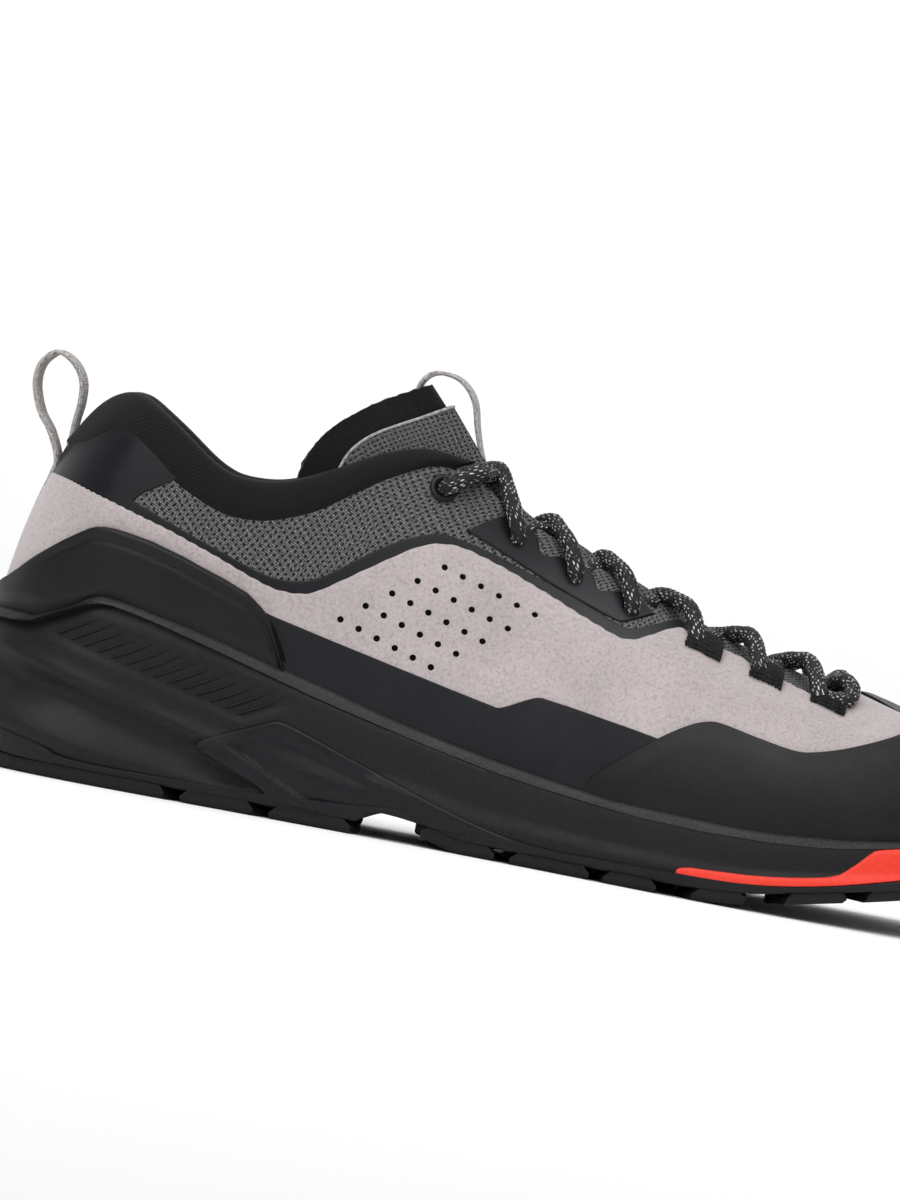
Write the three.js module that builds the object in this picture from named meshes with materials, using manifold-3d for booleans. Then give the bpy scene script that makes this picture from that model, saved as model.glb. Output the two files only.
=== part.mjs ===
// Approach shoe, right foot: rubber outsole, foam midsole and a lace-to-toe upper on one last.
// Millimetres, +Z up, +X to the toe, lateral side at -Y. Lengths run from the sole's rear end.
import * as THREE from 'three';
import { ParametricGeometry } from 'three/addons/geometries/ParametricGeometry.js';
import { mergeVertices } from 'three/addons/utils/BufferGeometryUtils.js';
import Module from 'manifold-3d';

const wasm = await Module();
wasm.setup();

// Driving sizes
const LENGTH = 300;
const BALL_WIDTH = 108;
const HEEL_STACK = 26;
const UPPER_HEIGHT = 78;
const TOE_SPRING = 20;
const HEEL_BEVEL = 3;
const HEEL_ROUND = 42;
const TOE_ROUND = 54;
const END_POWER = 2.15;
const SEAT_FROM_REAR = 42;
const CLEARANCE = 0.3;

const WALL = 2.2;
const PANEL_STEP = 0.8;
const RAND_THICKNESS = 1.6;
const COUNTER_THICKNESS = 1.8;
const COLLAR_PROUD = 0.8;
const COLLAR_DEPTH = 6;
const COLLAR_LINING_REACH = 16;
const TONGUE_THICKNESS = 3;
const INSOLE_THICKNESS = 4;
const RIM_MARGIN = 0.8;

const LUG_DEPTH = 3.2;
const PLATE_THICKNESS = 2.4;
const ARCH_RISE = 3.6;
const RIM_CHAMFER = 3.5;
const WING_PROUD = 0.7;
const WING_THICKNESS = 2.2;
const ACCENT_PROUD = 0.4;
const ACCENT_THICKNESS = 1.6;
const RIB_COUNT = 14;
const RIB_WIDTH = 1.3;
const RIB_DEPTH = 0.9;

const LACE_DIAMETER = 4.5;
const LACE_START = 0.2;
const LACE_ARCH = 2.4;
const LACE_LIFT = 0.9;
const EYELET_OUTER = 7.8;
const EYELET_BORE = 4.6;
const EYELET_HEIGHT = 1.2;
const HOLE_DIAMETER = 4.6;
const KEEPER_THICKNESS = 1.2;
const HEEL_LOOP_WIDTH = 10;
const TONGUE_LOOP_WIDTH = 8;
const TAPE_THICKNESS = 1.4;

const AROUND = 40;
const SPAN_STEPS = 2;
const FAR = 400;

// Sole plan: half widths either side of the long axis, shares of the ball width
const PLAN = [
  { x: 0.0, lateral: 0.36, medial: 0.36 },
  { x: 0.15, lateral: 0.37, medial: 0.36 },
  { x: 0.3, lateral: 0.355, medial: 0.33 },
  { x: 0.43, lateral: 0.36, medial: 0.3 },
  { x: 0.54, lateral: 0.41, medial: 0.34 },
  { x: 0.64, lateral: 0.475, medial: 0.42 },
  { x: 0.72, lateral: 0.495, medial: 0.49 },
  { x: 0.8, lateral: 0.48, medial: 0.515 },
  { x: 0.9, lateral: 0.43, medial: 0.5 },
  { x: 1.0, lateral: 0.36, medial: 0.45 },
];

// Footbed height and the midsole rim above it, shares of the heel stack
const BED = [
  { x: 0.0, bed: 1.04, rim: 0.54 },
  { x: 0.04, bed: 1.02, rim: 0.55 },
  { x: 0.07, bed: 1.01, rim: 0.68 },
  { x: 0.105, bed: 1.0, rim: 0.89 },
  { x: 0.17, bed: 0.98, rim: 0.8 },
  { x: 0.3, bed: 0.89, rim: 0.545 },
  { x: 0.4, bed: 0.77, rim: 0.39 },
  { x: 0.5, bed: 0.635, rim: 0.32 },
  { x: 0.6, bed: 0.545, rim: 0.285 },
  { x: 0.7, bed: 0.54, rim: 0.265 },
  { x: 0.78, bed: 0.6, rim: 0.26 },
  { x: 0.85, bed: 0.7, rim: 0.27 },
  { x: 0.92, bed: 0.85, rim: 0.29 },
  { x: 1.0, bed: 1.09, rim: 0.33 },
];

// Tread line: heel bevel, arch rise and toe spring, shares of those three sizes
const TREAD = [
  { x: 0.0, bevel: 1, arch: 0, spring: 0 },
  { x: 0.03, bevel: 0.45, arch: 0, spring: 0 },
  { x: 0.07, bevel: 0, arch: 0, spring: 0 },
  { x: 0.365, bevel: 0, arch: 0, spring: 0 },
  { x: 0.39, bevel: 0, arch: 1, spring: 0 },
  { x: 0.425, bevel: 0, arch: 0.75, spring: 0 },
  { x: 0.47, bevel: 0, arch: 0, spring: 0 },
  { x: 0.67, bevel: 0, arch: 0, spring: 0 },
  { x: 0.72, bevel: 0, arch: 0, spring: 0.06 },
  { x: 0.76, bevel: 0, arch: 0, spring: 0.17 },
  { x: 0.81, bevel: 0, arch: 0, spring: 0.32 },
  { x: 0.86, bevel: 0, arch: 0, spring: 0.48 },
  { x: 0.92, bevel: 0, arch: 0, spring: 0.7 },
  { x: 1.0, bevel: 0, arch: 0, spring: 1 },
];

// Side wall of the sole: inset from the plan outline at each share of the way to the rim
const SIDE_WALL = [
  { up: -0.12, heel: 5, side: 2.6, toe: 6 },
  { up: 0.1, heel: 1.4, side: 0.8, toe: 2 },
  { up: 0.34, heel: 0, side: 0, toe: 0 },
  { up: 0.52, heel: 1.6, side: 1.0, toe: 0.2 },
  { up: 0.7, heel: 3.4, side: 1.2, toe: 0.6 },
];
const CHAMFER_INSET = { heel: 4.6, side: 1.7, toe: 1.4 };
const RIM_INSET = { heel: 7, side: 3.6, toe: 3.6 };
const LAST_INSET = { heel: 9, side: 5, toe: 5 };
const LAST_TUCK = 3.6;
const LAST_LIFT = 1.5;

// Last's top line above the footbed in shares of the upper height, and the roundness of its sections
const RIDGE_REAR = 0.25;
const RIDGE_FRONT = 0.873;
const RIDGE = [
  { x: 0.25, up: 1.8 },
  { x: 0.317, up: 1.58 },
  { x: 0.377, up: 1.385 },
  { x: 0.41, up: 1.26 },
  { x: 0.457, up: 1.07 },
  { x: 0.525, up: 0.89 },
  { x: 0.583, up: 0.814 },
  { x: 0.64, up: 0.728 },
  { x: 0.697, up: 0.658 },
  { x: 0.737, up: 0.613 },
  { x: 0.793, up: 0.537 },
  { x: 0.873, up: 0.42 },
];
const FULLNESS = [
  { x: 0.0, power: 1.5 },
  { x: 0.1, power: 1.9 },
  { x: 0.22, power: 2.2 },
  { x: 0.4, power: 2.1 },
  { x: 0.52, power: 1.85 },
  { x: 0.64, power: 1.9 },
  { x: 0.78, power: 2.1 },
  { x: 1.0, power: 2.3 },
];

// Side outlines: shares of the length, and of the upper height above the footbed
const COLLAR_TOP = [
  { x: 0.04, up: 0.79 },
  { x: 0.067, up: 0.79 },
  { x: 0.08, up: 0.9 },
  { x: 0.1, up: 0.99 },
  { x: 0.115, up: 1.0 },
  { x: 0.159, up: 0.913 },
  { x: 0.2, up: 0.81 },
  { x: 0.24, up: 0.795 },
  { x: 0.303, up: 0.909 },
  { x: 0.362, up: 1.042 },
  { x: 0.39, up: 1.07 },
  { x: 0.41, up: 1.06 },
];
const COLLAR_LOW = [
  { x: 0.0, up: 0.72 },
  { x: 0.05, up: 0.74 },
  { x: 0.085, up: 0.79 },
  { x: 0.111, up: 0.85 },
  { x: 0.143, up: 0.78 },
  { x: 0.18, up: 0.69 },
  { x: 0.225, up: 0.65 },
  { x: 0.273, up: 0.706 },
  { x: 0.34, up: 0.898 },
  { x: 0.385, up: 0.995 },
  { x: 0.41, up: 1.005 },
];
const THROAT = [
  { x: 0.41, up: 1.0 },
  { x: 0.437, up: 0.945 },
  { x: 0.46, up: 0.91 },
  { x: 0.483, up: 0.885 },
  { x: 0.523, up: 0.835 },
  { x: 0.573, up: 0.783 },
  { x: 0.597, up: 0.73 },
  { x: 0.667, up: 0.645 },
  { x: 0.72, up: 0.578 },
  { x: 0.78, up: 0.49 },
  { x: 0.8, up: 0.6 },
];
const COUNTER_TOP = [
  { x: 0.0, up: 0.345 },
  { x: 0.034, up: 0.356 },
  { x: 0.061, up: 0.385 },
  { x: 0.099, up: 0.508 },
  { x: 0.118, up: 0.53 },
  { x: 0.164, up: 0.506 },
  { x: 0.241, up: 0.421 },
  { x: 0.266, up: 0.35 },
  { x: 0.285, up: 0.215 },
];
const RAND_TOP = [
  { x: 0.562, up: 0.13 },
  { x: 0.58, up: 0.205 },
  { x: 0.617, up: 0.323 },
  { x: 0.645, up: 0.39 },
  { x: 0.67, up: 0.41 },
  { x: 0.7, up: 0.385 },
  { x: 0.735, up: 0.356 },
  { x: 0.777, up: 0.377 },
  { x: 0.823, up: 0.425 },
  { x: 0.855, up: 0.5 },
  { x: 0.88, up: 0.6 },
  { x: 1.05, up: 0.6 },
];
const PANEL_TOP = [
  { x: 0.0, up: 0.67 },
  { x: 0.06, up: 0.66 },
  { x: 0.127, up: 0.6 },
  { x: 0.18, up: 0.547 },
  { x: 0.253, up: 0.46 },
  { x: 0.28, up: 0.449 },
  { x: 0.31, up: 0.502 },
  { x: 0.353, up: 0.637 },
  { x: 0.387, up: 0.74 },
  { x: 0.413, up: 0.762 },
  { x: 0.477, up: 0.72 },
  { x: 0.561, up: 0.627 },
  { x: 0.59, up: 0.64 },
  { x: 0.622, up: 0.7 },
  { x: 0.66, up: 0.8 },
];
const EYESTAY = [
  { x: 0.421, up: 0.816 },
  { x: 0.45, up: 1.05 },
  { x: 0.62, up: 0.95 },
  { x: 0.595, up: 0.72 },
  { x: 0.567, up: 0.666 },
  { x: 0.51, up: 0.718 },
  { x: 0.456, up: 0.78 },
];
const TONGUE_REAR = [
  { x: 0.263, up: 0.62 },
  { x: 0.262, up: 0.79 },
  { x: 0.27, up: 0.9 },
  { x: 0.29, up: 1.02 },
  { x: 0.325, up: 1.154 },
  { x: 0.377, up: 1.255 },
  { x: 0.44, up: 1.6 },
];
const TONGUE_LOW = [
  { x: 0.82, up: 0.35 },
  { x: 0.72, up: 0.4 },
  { x: 0.6, up: 0.52 },
  { x: 0.5, up: 0.66 },
  { x: 0.42, up: 0.72 },
  { x: 0.34, up: 0.66 },
];

// Rows of tread blocks: shares of the length, and how far the block leans forward at the edge
const LUG_ROWS = [
  { from: 0.0, to: 0.2, lean: 0.0 },
  { from: 0.215, to: 0.28, lean: 0.01 },
  { from: 0.295, to: 0.37, lean: 0.01 },
  { from: 0.43, to: 0.498, lean: -0.012 },
  { from: 0.512, to: 0.583, lean: -0.014 },
  { from: 0.596, to: 0.643, lean: -0.016 },
  { from: 0.67, to: 0.722, lean: -0.018 },
  { from: 0.756, to: 0.81, lean: -0.02 },
  { from: 0.828, to: 0.872, lean: -0.024 },
  { from: 0.888, to: 0.96, lean: -0.028 },
];
const LUG_COLUMNS = [
  { from: -0.7, to: -0.28 },
  { from: -0.2, to: 0.2 },
  { from: 0.28, to: 0.7 },
];
const EDGE_LUG_WIDTH = 0.17;

// Side wing of the outsole and the accent band, millimetre heights above the tread line
const WING = [
  { x: 0.275, up: 4.6 },
  { x: 0.228, up: 14.6 },
  { x: 0.23, up: 17.4 },
  { x: 0.275, up: 24.8 },
  { x: 0.295, up: 25 },
  { x: 0.365, up: 18.4 },
  { x: 0.45, up: 9.4 },
  { x: 0.535, up: 4.6 },
];
const ACCENT_TOP = [
  { x: 0.655, up: 0 },
  { x: 0.67, up: 2.4 },
  { x: 0.75, up: 2.4 },
  { x: 0.79, up: 2.8 },
  { x: 0.818, up: 7.6 },
  { x: 0.84, up: 8 },
  { x: 1.05, up: 8.2 },
];
const FIRST_RIB = { x: 0.0715, up: 37.2 };
const LAST_RIB = { x: 0.25, up: 24.5 };
const RIB_RUN = 13;
const RIB_RISE = 7.4;

// Lacing: lateral positions in the side view, mirrored on the medial side
const EYELET_AT = { x: 0.394, up: 0.937 };
const HOLES = [
  { x: 0.464, up: 0.846 },
  { x: 0.52, up: 0.774 },
  { x: 0.574, up: 0.722 },
];
const KEEPERS = [
  { x: 0.642, half: 0.0145, up: 0.652, low: 0.6 },
  { x: 0.701, half: 0.0135, up: 0.6, low: 0.545 },
  { x: 0.757, half: 0.0135, up: 0.525, low: 0.48 },
];

const TOE_BAR = { x: 0.77, up: 0.505 };

// Smooth monotone curve through one column of a table
function column(rows, name) {
  const xs = rows.map((row) => row.x);
  const ys = rows.map((row) => row[name]);
  const slopes = xs.slice(1).map((x, i) => (ys[i + 1] - ys[i]) / (x - xs[i]));
  const tangents = xs.map((_, i) => {
    const before = slopes[i - 1] ?? 0;
    const after = slopes[i] ?? 0;
    return before * after > 0 ? (2 * before * after) / (before + after) : 0;
  });
  return (x) => {
    const at = THREE.MathUtils.clamp(x, xs[0], xs[xs.length - 1]);
    const i = Math.max(0, Math.min(xs.length - 2, xs.findLastIndex((start) => start <= at)));
    const step = xs[i + 1] - xs[i];
    const u = (at - xs[i]) / step;
    const rest = 1 - u;
    return (
      ys[i] * (1 + 2 * u) * rest * rest +
      step * tangents[i] * u * rest * rest +
      ys[i + 1] * u * u * (3 - 2 * u) -
      step * tangents[i + 1] * u * u * rest
    );
  };
}

const lateralShare = column(PLAN, 'lateral');
const medialShare = column(PLAN, 'medial');
const bedShare = column(BED, 'bed');
const rimShare = column(BED, 'rim');
const bevelShare = column(TREAD, 'bevel');
const archShare = column(TREAD, 'arch');
const springShare = column(TREAD, 'spring');
const ridgeShare = column(RIDGE, 'up');
const fullness = column(FULLNESS, 'power');
const accentRise = column(ACCENT_TOP, 'up');

const bed = (x) => bedShare(x / LENGTH) * HEEL_STACK;
const rim = (x) => bed(x) + rimShare(x / LENGTH) * HEEL_STACK;
const ridge = (x) => bed(x) + ridgeShare(x / LENGTH) * UPPER_HEIGHT;

// Height of the tread faces above the ground
function tread(x) {
  const at = x / LENGTH;
  return bevelShare(at) * HEEL_BEVEL + archShare(at) * ARCH_RISE + springShare(at) * TOE_SPRING;
}

const plateTop = (x) => tread(x) + LUG_DEPTH + PLATE_THICKNESS;
const plateBottom = (x) => tread(x) + LUG_DEPTH;

// Share of the full width this far from a round end
function endRound(distance, round) {
  const u = THREE.MathUtils.clamp(distance / round, 0, 1);
  return (1 - (1 - u) ** END_POWER) ** (1 / END_POWER);
}

// Plan outline, anticlockwise from the heel by the lateral side, moved in by an inset
function planPoint(angle, inset) {
  const x = inset.heel + ((LENGTH - inset.heel - inset.toe) * (1 - Math.cos(angle))) / 2;
  const at = x / LENGTH;
  const centre = ((medialShare(at) - lateralShare(at)) / 2) * BALL_WIDTH;
  const half = ((medialShare(at) + lateralShare(at)) / 2) * BALL_WIDTH - inset.side;
  const ends = endRound(x - inset.heel, HEEL_ROUND) * endRound(LENGTH - inset.toe - x, TOE_ROUND);
  const side = Math.sin(angle) >= 0 ? -1 : 1;
  return { x, y: centre + side * half * ends, centre };
}

const ringAt = (angle, inset, height) => {
  const plan = planPoint(angle, inset);
  return new THREE.Vector3(plan.x, plan.y, height(plan.x));
};

function centreOf(point) {
  const at = point.x / LENGTH;
  const y = ((medialShare(at) - lateralShare(at)) / 2) * BALL_WIDTH;
  return new THREE.Vector3(point.x, y, point.z);
}

// Last surface: level -1 under the footbed, 0 at the widest line, 1 on the ridge
function lastPoint(angle, level) {
  const wide = ringAt(angle, LAST_INSET, (x) => rim(x) + LAST_LIFT);
  if (level < 0) {
    const turn = (-level * Math.PI) / 2;
    const tucked = {
      heel: LAST_INSET.heel + LAST_TUCK,
      side: LAST_INSET.side + LAST_TUCK,
      toe: LAST_INSET.toe + LAST_TUCK,
    };
    const under = ringAt(angle, tucked, (x) => bed(x) - LAST_TUCK);
    const down = Math.sin(turn);
    const across = 1 - Math.cos(turn);
    return new THREE.Vector3(
      THREE.MathUtils.lerp(wide.x, under.x, across),
      THREE.MathUtils.lerp(wide.y, under.y, across),
      THREE.MathUtils.lerp(wide.z, under.z, down),
    );
  }
  const way = (1 - Math.cos(angle)) / 2;
  const ridgeX = THREE.MathUtils.lerp(RIDGE_REAR, RIDGE_FRONT, way) * LENGTH;
  const turn = (level * Math.PI) / 2;
  const power = 2 / fullness(way);
  const across = 1 - Math.max(Math.cos(turn), 0) ** power;
  const rise = Math.sin(turn) ** power;
  const top = centreOf(new THREE.Vector3(ridgeX, 0, ridge(ridgeX)));
  return new THREE.Vector3(
    THREE.MathUtils.lerp(wide.x, top.x, across),
    THREE.MathUtils.lerp(wide.y, top.y, across),
    THREE.MathUtils.lerp(wide.z, top.z, rise),
  );
}

// Point of the last moved out along its normal
function lastOffset(angle, level, offset) {
  const small = 0.004;
  const top = 1 - small;
  const at = Math.min(level, top);
  const point = lastPoint(angle, level);
  const along = lastPoint(angle + small, at).sub(lastPoint(angle - small, at));
  const upward = lastPoint(angle, Math.min(at + small, 1)).sub(lastPoint(angle, at - small));
  const normal = along.cross(upward).normalize();
  if (level > top) {
    const way = (1 - Math.cos(angle)) / 2;
    const x = THREE.MathUtils.lerp(RIDGE_REAR, RIDGE_FRONT, way) * LENGTH;
    normal.set(ridge(x - 1) - ridge(x + 1), 0, 2).normalize();
  }
  const amount = typeof offset === 'function' ? offset(point) : offset;
  return point.addScaledVector(normal, amount);
}

// Closed geometry from a function of angle and row, with its first row folded to the centre line
function closedForm(rowPoint, rows) {
  const shape = (u, v, target) => {
    const angle = u * Math.PI * 2;
    target.copy(rowPoint(angle, Math.round(v * rows)));
  };
  return solid(new ParametricGeometry(shape, AROUND, rows));
}

// Solid made from a closed geometry with its shared corners merged
function solid(geometry) {
  const bare = geometry.clone();
  bare.deleteAttribute('normal');
  bare.deleteAttribute('uv');
  const merged = mergeVertices(bare, 0.001);
  return new wasm.Manifold(
    new wasm.Mesh({
      numProp: 3,
      vertProperties: new Float32Array(merged.attributes.position.array),
      triVerts: new Uint32Array(merged.index.array),
    }),
  );
}

// Last as a solid, offset by a distance or by a function of the point
const LAST_LEVELS = [-1, -0.5, 0, 0.16, 0.31, 0.45, 0.59, 0.72, 0.86, 1];
function lastForm(offset) {
  return closedForm((angle, row) => {
    if (row === 0) {
      return centreOf(lastPoint(angle, LAST_LEVELS[0]));
    }
    return lastOffset(angle, LAST_LEVELS[row - 1], offset);
  }, LAST_LEVELS.length);
}

// Sole as a solid, its side wall moved out by a distance
function soleForm(out) {
  const grown = (inset) => ({ heel: inset.heel - out, side: inset.side - out, toe: inset.toe - out });
  const rings = SIDE_WALL.map((row) => ({
    inset: grown(row),
    height: (x) => THREE.MathUtils.lerp(tread(x), rim(x), row.up),
  }));
  rings.push({ inset: grown(CHAMFER_INSET), height: (x) => rim(x) - RIM_CHAMFER });
  rings.push({ inset: grown(RIM_INSET), height: rim });
  return closedForm((angle, row) => {
    if (row === 0) {
      return centreOf(ringAt(angle, rings[0].inset, rings[0].height));
    }
    if (row > rings.length) {
      return centreOf(ringAt(angle, RIM_INSET, rim));
    }
    return ringAt(angle, rings[row - 1].inset, rings[row - 1].height);
  }, rings.length + 1);
}

// Side view outlines
const high = (row) => new THREE.Vector2(row.x * LENGTH, bed(row.x * LENGTH) + row.up * UPPER_HEIGHT);
const overTread = (row) => new THREE.Vector2(row.x * LENGTH, tread(row.x * LENGTH) + row.up);

function smooth(points) {
  const spatial = points.map((point) => new THREE.Vector3(point.x, point.y, 0));
  const curve = new THREE.CatmullRomCurve3(spatial, false, 'centripetal');
  return curve.getPoints((points.length - 1) * SPAN_STEPS);
}

function lineOf(height, from, to, steps) {
  return Array.from({ length: steps + 1 }, (_, i) => {
    const x = from + ((to - from) * i) / steps;
    return new THREE.Vector2(x, height(x));
  });
}

// Block of a side view outline, from one width position to another
function sideBlock(points, yFrom = -FAR, yTo = FAR) {
  const shape = new THREE.Shape(points.map((point) => new THREE.Vector2(point.x, point.y)));
  const geometry = new THREE.ExtrudeGeometry(shape, { depth: yTo - yFrom, bevelEnabled: false });
  geometry.rotateX(Math.PI / 2);
  geometry.translate(0, yTo, 0);
  return solid(geometry);
}

// Block between two height lines over a stretch of the length
function between(low, top, from = -10, to = LENGTH + 10, steps = 30) {
  return sideBlock([...lineOf(low, from, to, steps), ...lineOf(top, from, to, steps).reverse()]);
}

const above = (height) => between(height, () => FAR);

// Outline moved out all round by a distance, its corners kept sharp
function grow(points, by) {
  const turn = THREE.ShapeUtils.area(points) < 0 ? -1 : 1;
  const outward = (from, to) => {
    const along = new THREE.Vector2(to.x - from.x, to.y - from.y).normalize();
    return new THREE.Vector2(along.y * turn, -along.x * turn);
  };
  return points.map((point, i) => {
    const before = outward(points[(i + points.length - 1) % points.length], point);
    const after = outward(point, points[(i + 1) % points.length]);
    const both = before.clone().add(after).divideScalar(1 + before.dot(after));
    return new THREE.Vector2(point.x, point.y).addScaledVector(both, by);
  });
}

// Block of a plan outline between two heights
function planBlock(points, low, top) {
  const shape = new THREE.Shape(points.map((point) => new THREE.Vector2(point.x, point.y)));
  const geometry = new THREE.ExtrudeGeometry(shape, { depth: top - low, bevelEnabled: false });
  geometry.translate(0, 0, low);
  return solid(geometry);
}

// Ribbon of a side view route, set on edge across the shoe
function ribbon(route, thickness, width, centre) {
  const half = thickness / 2;
  const rail = (sign) =>
    route.map((point, i) => {
      const before = route[Math.max(i - 1, 0)];
      const after = route[Math.min(i + 1, route.length - 1)];
      const along = new THREE.Vector2(after.x - before.x, after.y - before.y).normalize();
      return new THREE.Vector2(point.x - along.y * half * sign, point.y + along.x * half * sign);
    });
  return sideBlock([...rail(-1), ...rail(1).reverse()], centre - width / 2, centre + width / 2);
}

const last = lastForm(0);
const lastStep = lastForm(PANEL_STEP);
const lastInner = lastForm(-WALL);
const overPanel = PANEL_STEP + CLEARANCE;


// Opening of the upper: everything over the collar piece's lower line and the throat line
function openingBlock() {
  const collar = smooth(COLLAR_LOW.map(high));
  const throat = smooth(THROAT.map(high));
  return sideBlock([...collar, ...throat.slice(1), { x: 0.8 * LENGTH, y: FAR }, { x: -50, y: FAR }]);
}

// Overlaid panel region under its top line
function panelBlock() {
  const top = smooth(PANEL_TOP.map(high));
  const bottom = lineOf((x) => rim(x) + RIM_MARGIN, LENGTH + 10, -10, 24);
  return sideBlock([{ x: -10, y: top[0].y }, ...top, { x: LENGTH + 10, y: FAR / 2 }, ...bottom]);
}

// Point and outward normal of the last under a place of the side view
function onLast(place, side) {
  const target = high(place);
  let best = { miss: Infinity };
  const search = (angleLow, angleHigh, levelLow, levelHigh) => {
    const steps = 24;
    for (let i = 0; i <= steps; i += 1) {
      for (let j = 0; j <= steps; j += 1) {
        const angle = angleLow + ((angleHigh - angleLow) * i) / steps;
        const level = levelLow + ((levelHigh - levelLow) * j) / steps;
        const point = lastPoint(angle, level);
        const miss = Math.hypot(point.x - target.x, point.z - target.y);
        if (miss < best.miss) {
          best = { miss, angle, level, point };
        }
      }
    }
  };
  search(0.05, Math.PI - 0.05, 0, 0.99);
  for (let round = 1; round <= 4; round += 1) {
    const reach = 0.3 / 8 ** (round - 1);
    search(best.angle - reach, best.angle + reach, best.level - reach / 2, Math.min(best.level + reach / 2, 0.99));
  }
  const angle = side < 0 ? best.angle : Math.PI * 2 - best.angle;
  const point = lastPoint(angle, best.level);
  const normal = lastOffset(angle, best.level, 1).sub(point);
  return { angle, level: best.level, point, normal };
}

// Lathe form stood on the last at a place, its axis along the normal
function standOn(place, side, profile, segments) {
  const seat = onLast(place, side);
  const geometry = new THREE.LatheGeometry(profile.map(([r, h]) => new THREE.Vector2(r, h)), segments);
  const turn = new THREE.Quaternion().setFromUnitVectors(new THREE.Vector3(0, 1, 0), seat.normal);
  geometry.applyQuaternion(turn);
  geometry.translate(seat.point.x, seat.point.y, seat.point.z);
  return solid(geometry);
}

function makeUpper() {
  const outer = last.add(lastStep.intersect(panelBlock().add(sideBlock(EYESTAY.map(high)))));
  let upper = outer.subtract(lastInner);
  upper = upper.intersect(above((x) => bed(x) + CLEARANCE)).subtract(openingBlock());
  const holeProfile = (diameter) => [
    [0, -8],
    [diameter / 2, -8],
    [diameter / 2, 8],
    [0, 8],
  ];
  for (const side of [-1, 1]) {
    for (const hole of HOLES) {
      upper = upper.subtract(standOn(hole, side, holeProfile(HOLE_DIAMETER), 10));
    }
    upper = upper.subtract(standOn(EYELET_AT, side, holeProfile(HOLE_DIAMETER), 10));
  }
  return upper;
}

// Padded collar: a band proud of the wall over it, with a lining that runs down inside
function makeCollar() {
  const low = smooth(COLLAR_LOW.map(high));
  const top = smooth(COLLAR_TOP.map(high));
  const band = sideBlock([...low.map((p) => ({ x: p.x, y: p.y + CLEARANCE })), ...top.reverse()]);
  const inner = lastForm(-COLLAR_DEPTH);
  const upperPart = lastForm(COLLAR_PROUD).subtract(inner).intersect(band);
  const reach = low.map((point) => ({ x: point.x, y: point.y - COLLAR_LINING_REACH }));
  const liningBlock = sideBlock([...reach, ...low.map((p) => ({ x: p.x, y: p.y + 1 })).reverse()]);
  const lining = lastForm(-WALL - CLEARANCE).subtract(inner).intersect(liningBlock);
  return upperPart.add(lining);
}

// Depth of the tongue under the last's surface, more where the collar pad is
function setIn(point) {
  const padEnd = COLLAR_TOP[COLLAR_TOP.length - 1].x * LENGTH + 3 * COLLAR_DEPTH;
  const forward = THREE.MathUtils.smoothstep(point.x, padEnd, padEnd + 3 * COLLAR_DEPTH);
  return -THREE.MathUtils.lerp(COLLAR_DEPTH, WALL, forward) - CLEARANCE;
}

// Tongue: an arched shell under the throat
function makeTongue() {
  const shell = lastForm(setIn).subtract(lastForm((point) => setIn(point) - TONGUE_THICKNESS));
  const rear = smooth(TONGUE_REAR.map(high));
  const low = smooth(TONGUE_LOW.map(high));
  return shell.intersect(sideBlock([...rear, { x: 0.82 * LENGTH, y: FAR / 2 }, ...low]));
}

function makeInsole() {
  const inner = lastForm(-WALL - CLEARANCE);
  const low = (x) => bed(x) + CLEARANCE;
  return inner.intersect(between(low, (x) => low(x) + INSOLE_THICKNESS));
}

// Shell of the sole's side wall between two depths
const soleSkin = (proud, depth) => soleForm(proud).subtract(soleForm(-depth));

function accentOutline() {
  const from = 0.655 * LENGTH;
  const low = lineOf((x) => plateTop(x) + CLEARANCE, from, LENGTH + 10, 14);
  const top = lineOf((x) => plateTop(x) + CLEARANCE + 0.2 + accentRise(x / LENGTH), LENGTH + 10, from, 18);
  return [...low, ...top];
}

function makeMidsole(wingOutline, accent) {
  let midsole = soleForm(0).intersect(above((x) => plateTop(x) + CLEARANCE));
  midsole = midsole.subtract(lastForm(CLEARANCE).intersect(above(bed)));
  midsole = midsole.subtract(
    soleSkin(FAR / 40, WING_THICKNESS + CLEARANCE).intersect(sideBlock(grow(wingOutline, CLEARANCE))),
  );
  midsole = midsole.subtract(
    soleSkin(FAR / 40, ACCENT_THICKNESS + CLEARANCE).intersect(sideBlock(grow(accent, CLEARANCE))),
  );
  return midsole.subtract(soleSkin(FAR / 40, RIB_DEPTH).intersect(ribBlocks()));
}

// Slanted grooves along the heel's side, below the rim chamfer
function ribBlocks() {
  const along = new THREE.Vector2(RIB_RUN, RIB_RISE).normalize();
  const half = RIB_WIDTH / 2;
  const first = new THREE.Vector2(FIRST_RIB.x * LENGTH, FIRST_RIB.up);
  const final = new THREE.Vector2(LAST_RIB.x * LENGTH, LAST_RIB.up);
  let all = null;
  for (let i = 0; i < RIB_COUNT; i += 1) {
    const start = first.clone().lerp(final, i / (RIB_COUNT - 1));
    const end = new THREE.Vector2(start.x + RIB_RUN, start.y + RIB_RISE);
    const across = new THREE.Vector2(-along.y, along.x).multiplyScalar(half);
    const block = sideBlock([
      start.clone().sub(across),
      end.clone().sub(across),
      end.clone().add(across),
      start.clone().add(across),
    ]);
    all = all ? all.add(block) : block;
  }
  return all;
}

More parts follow.
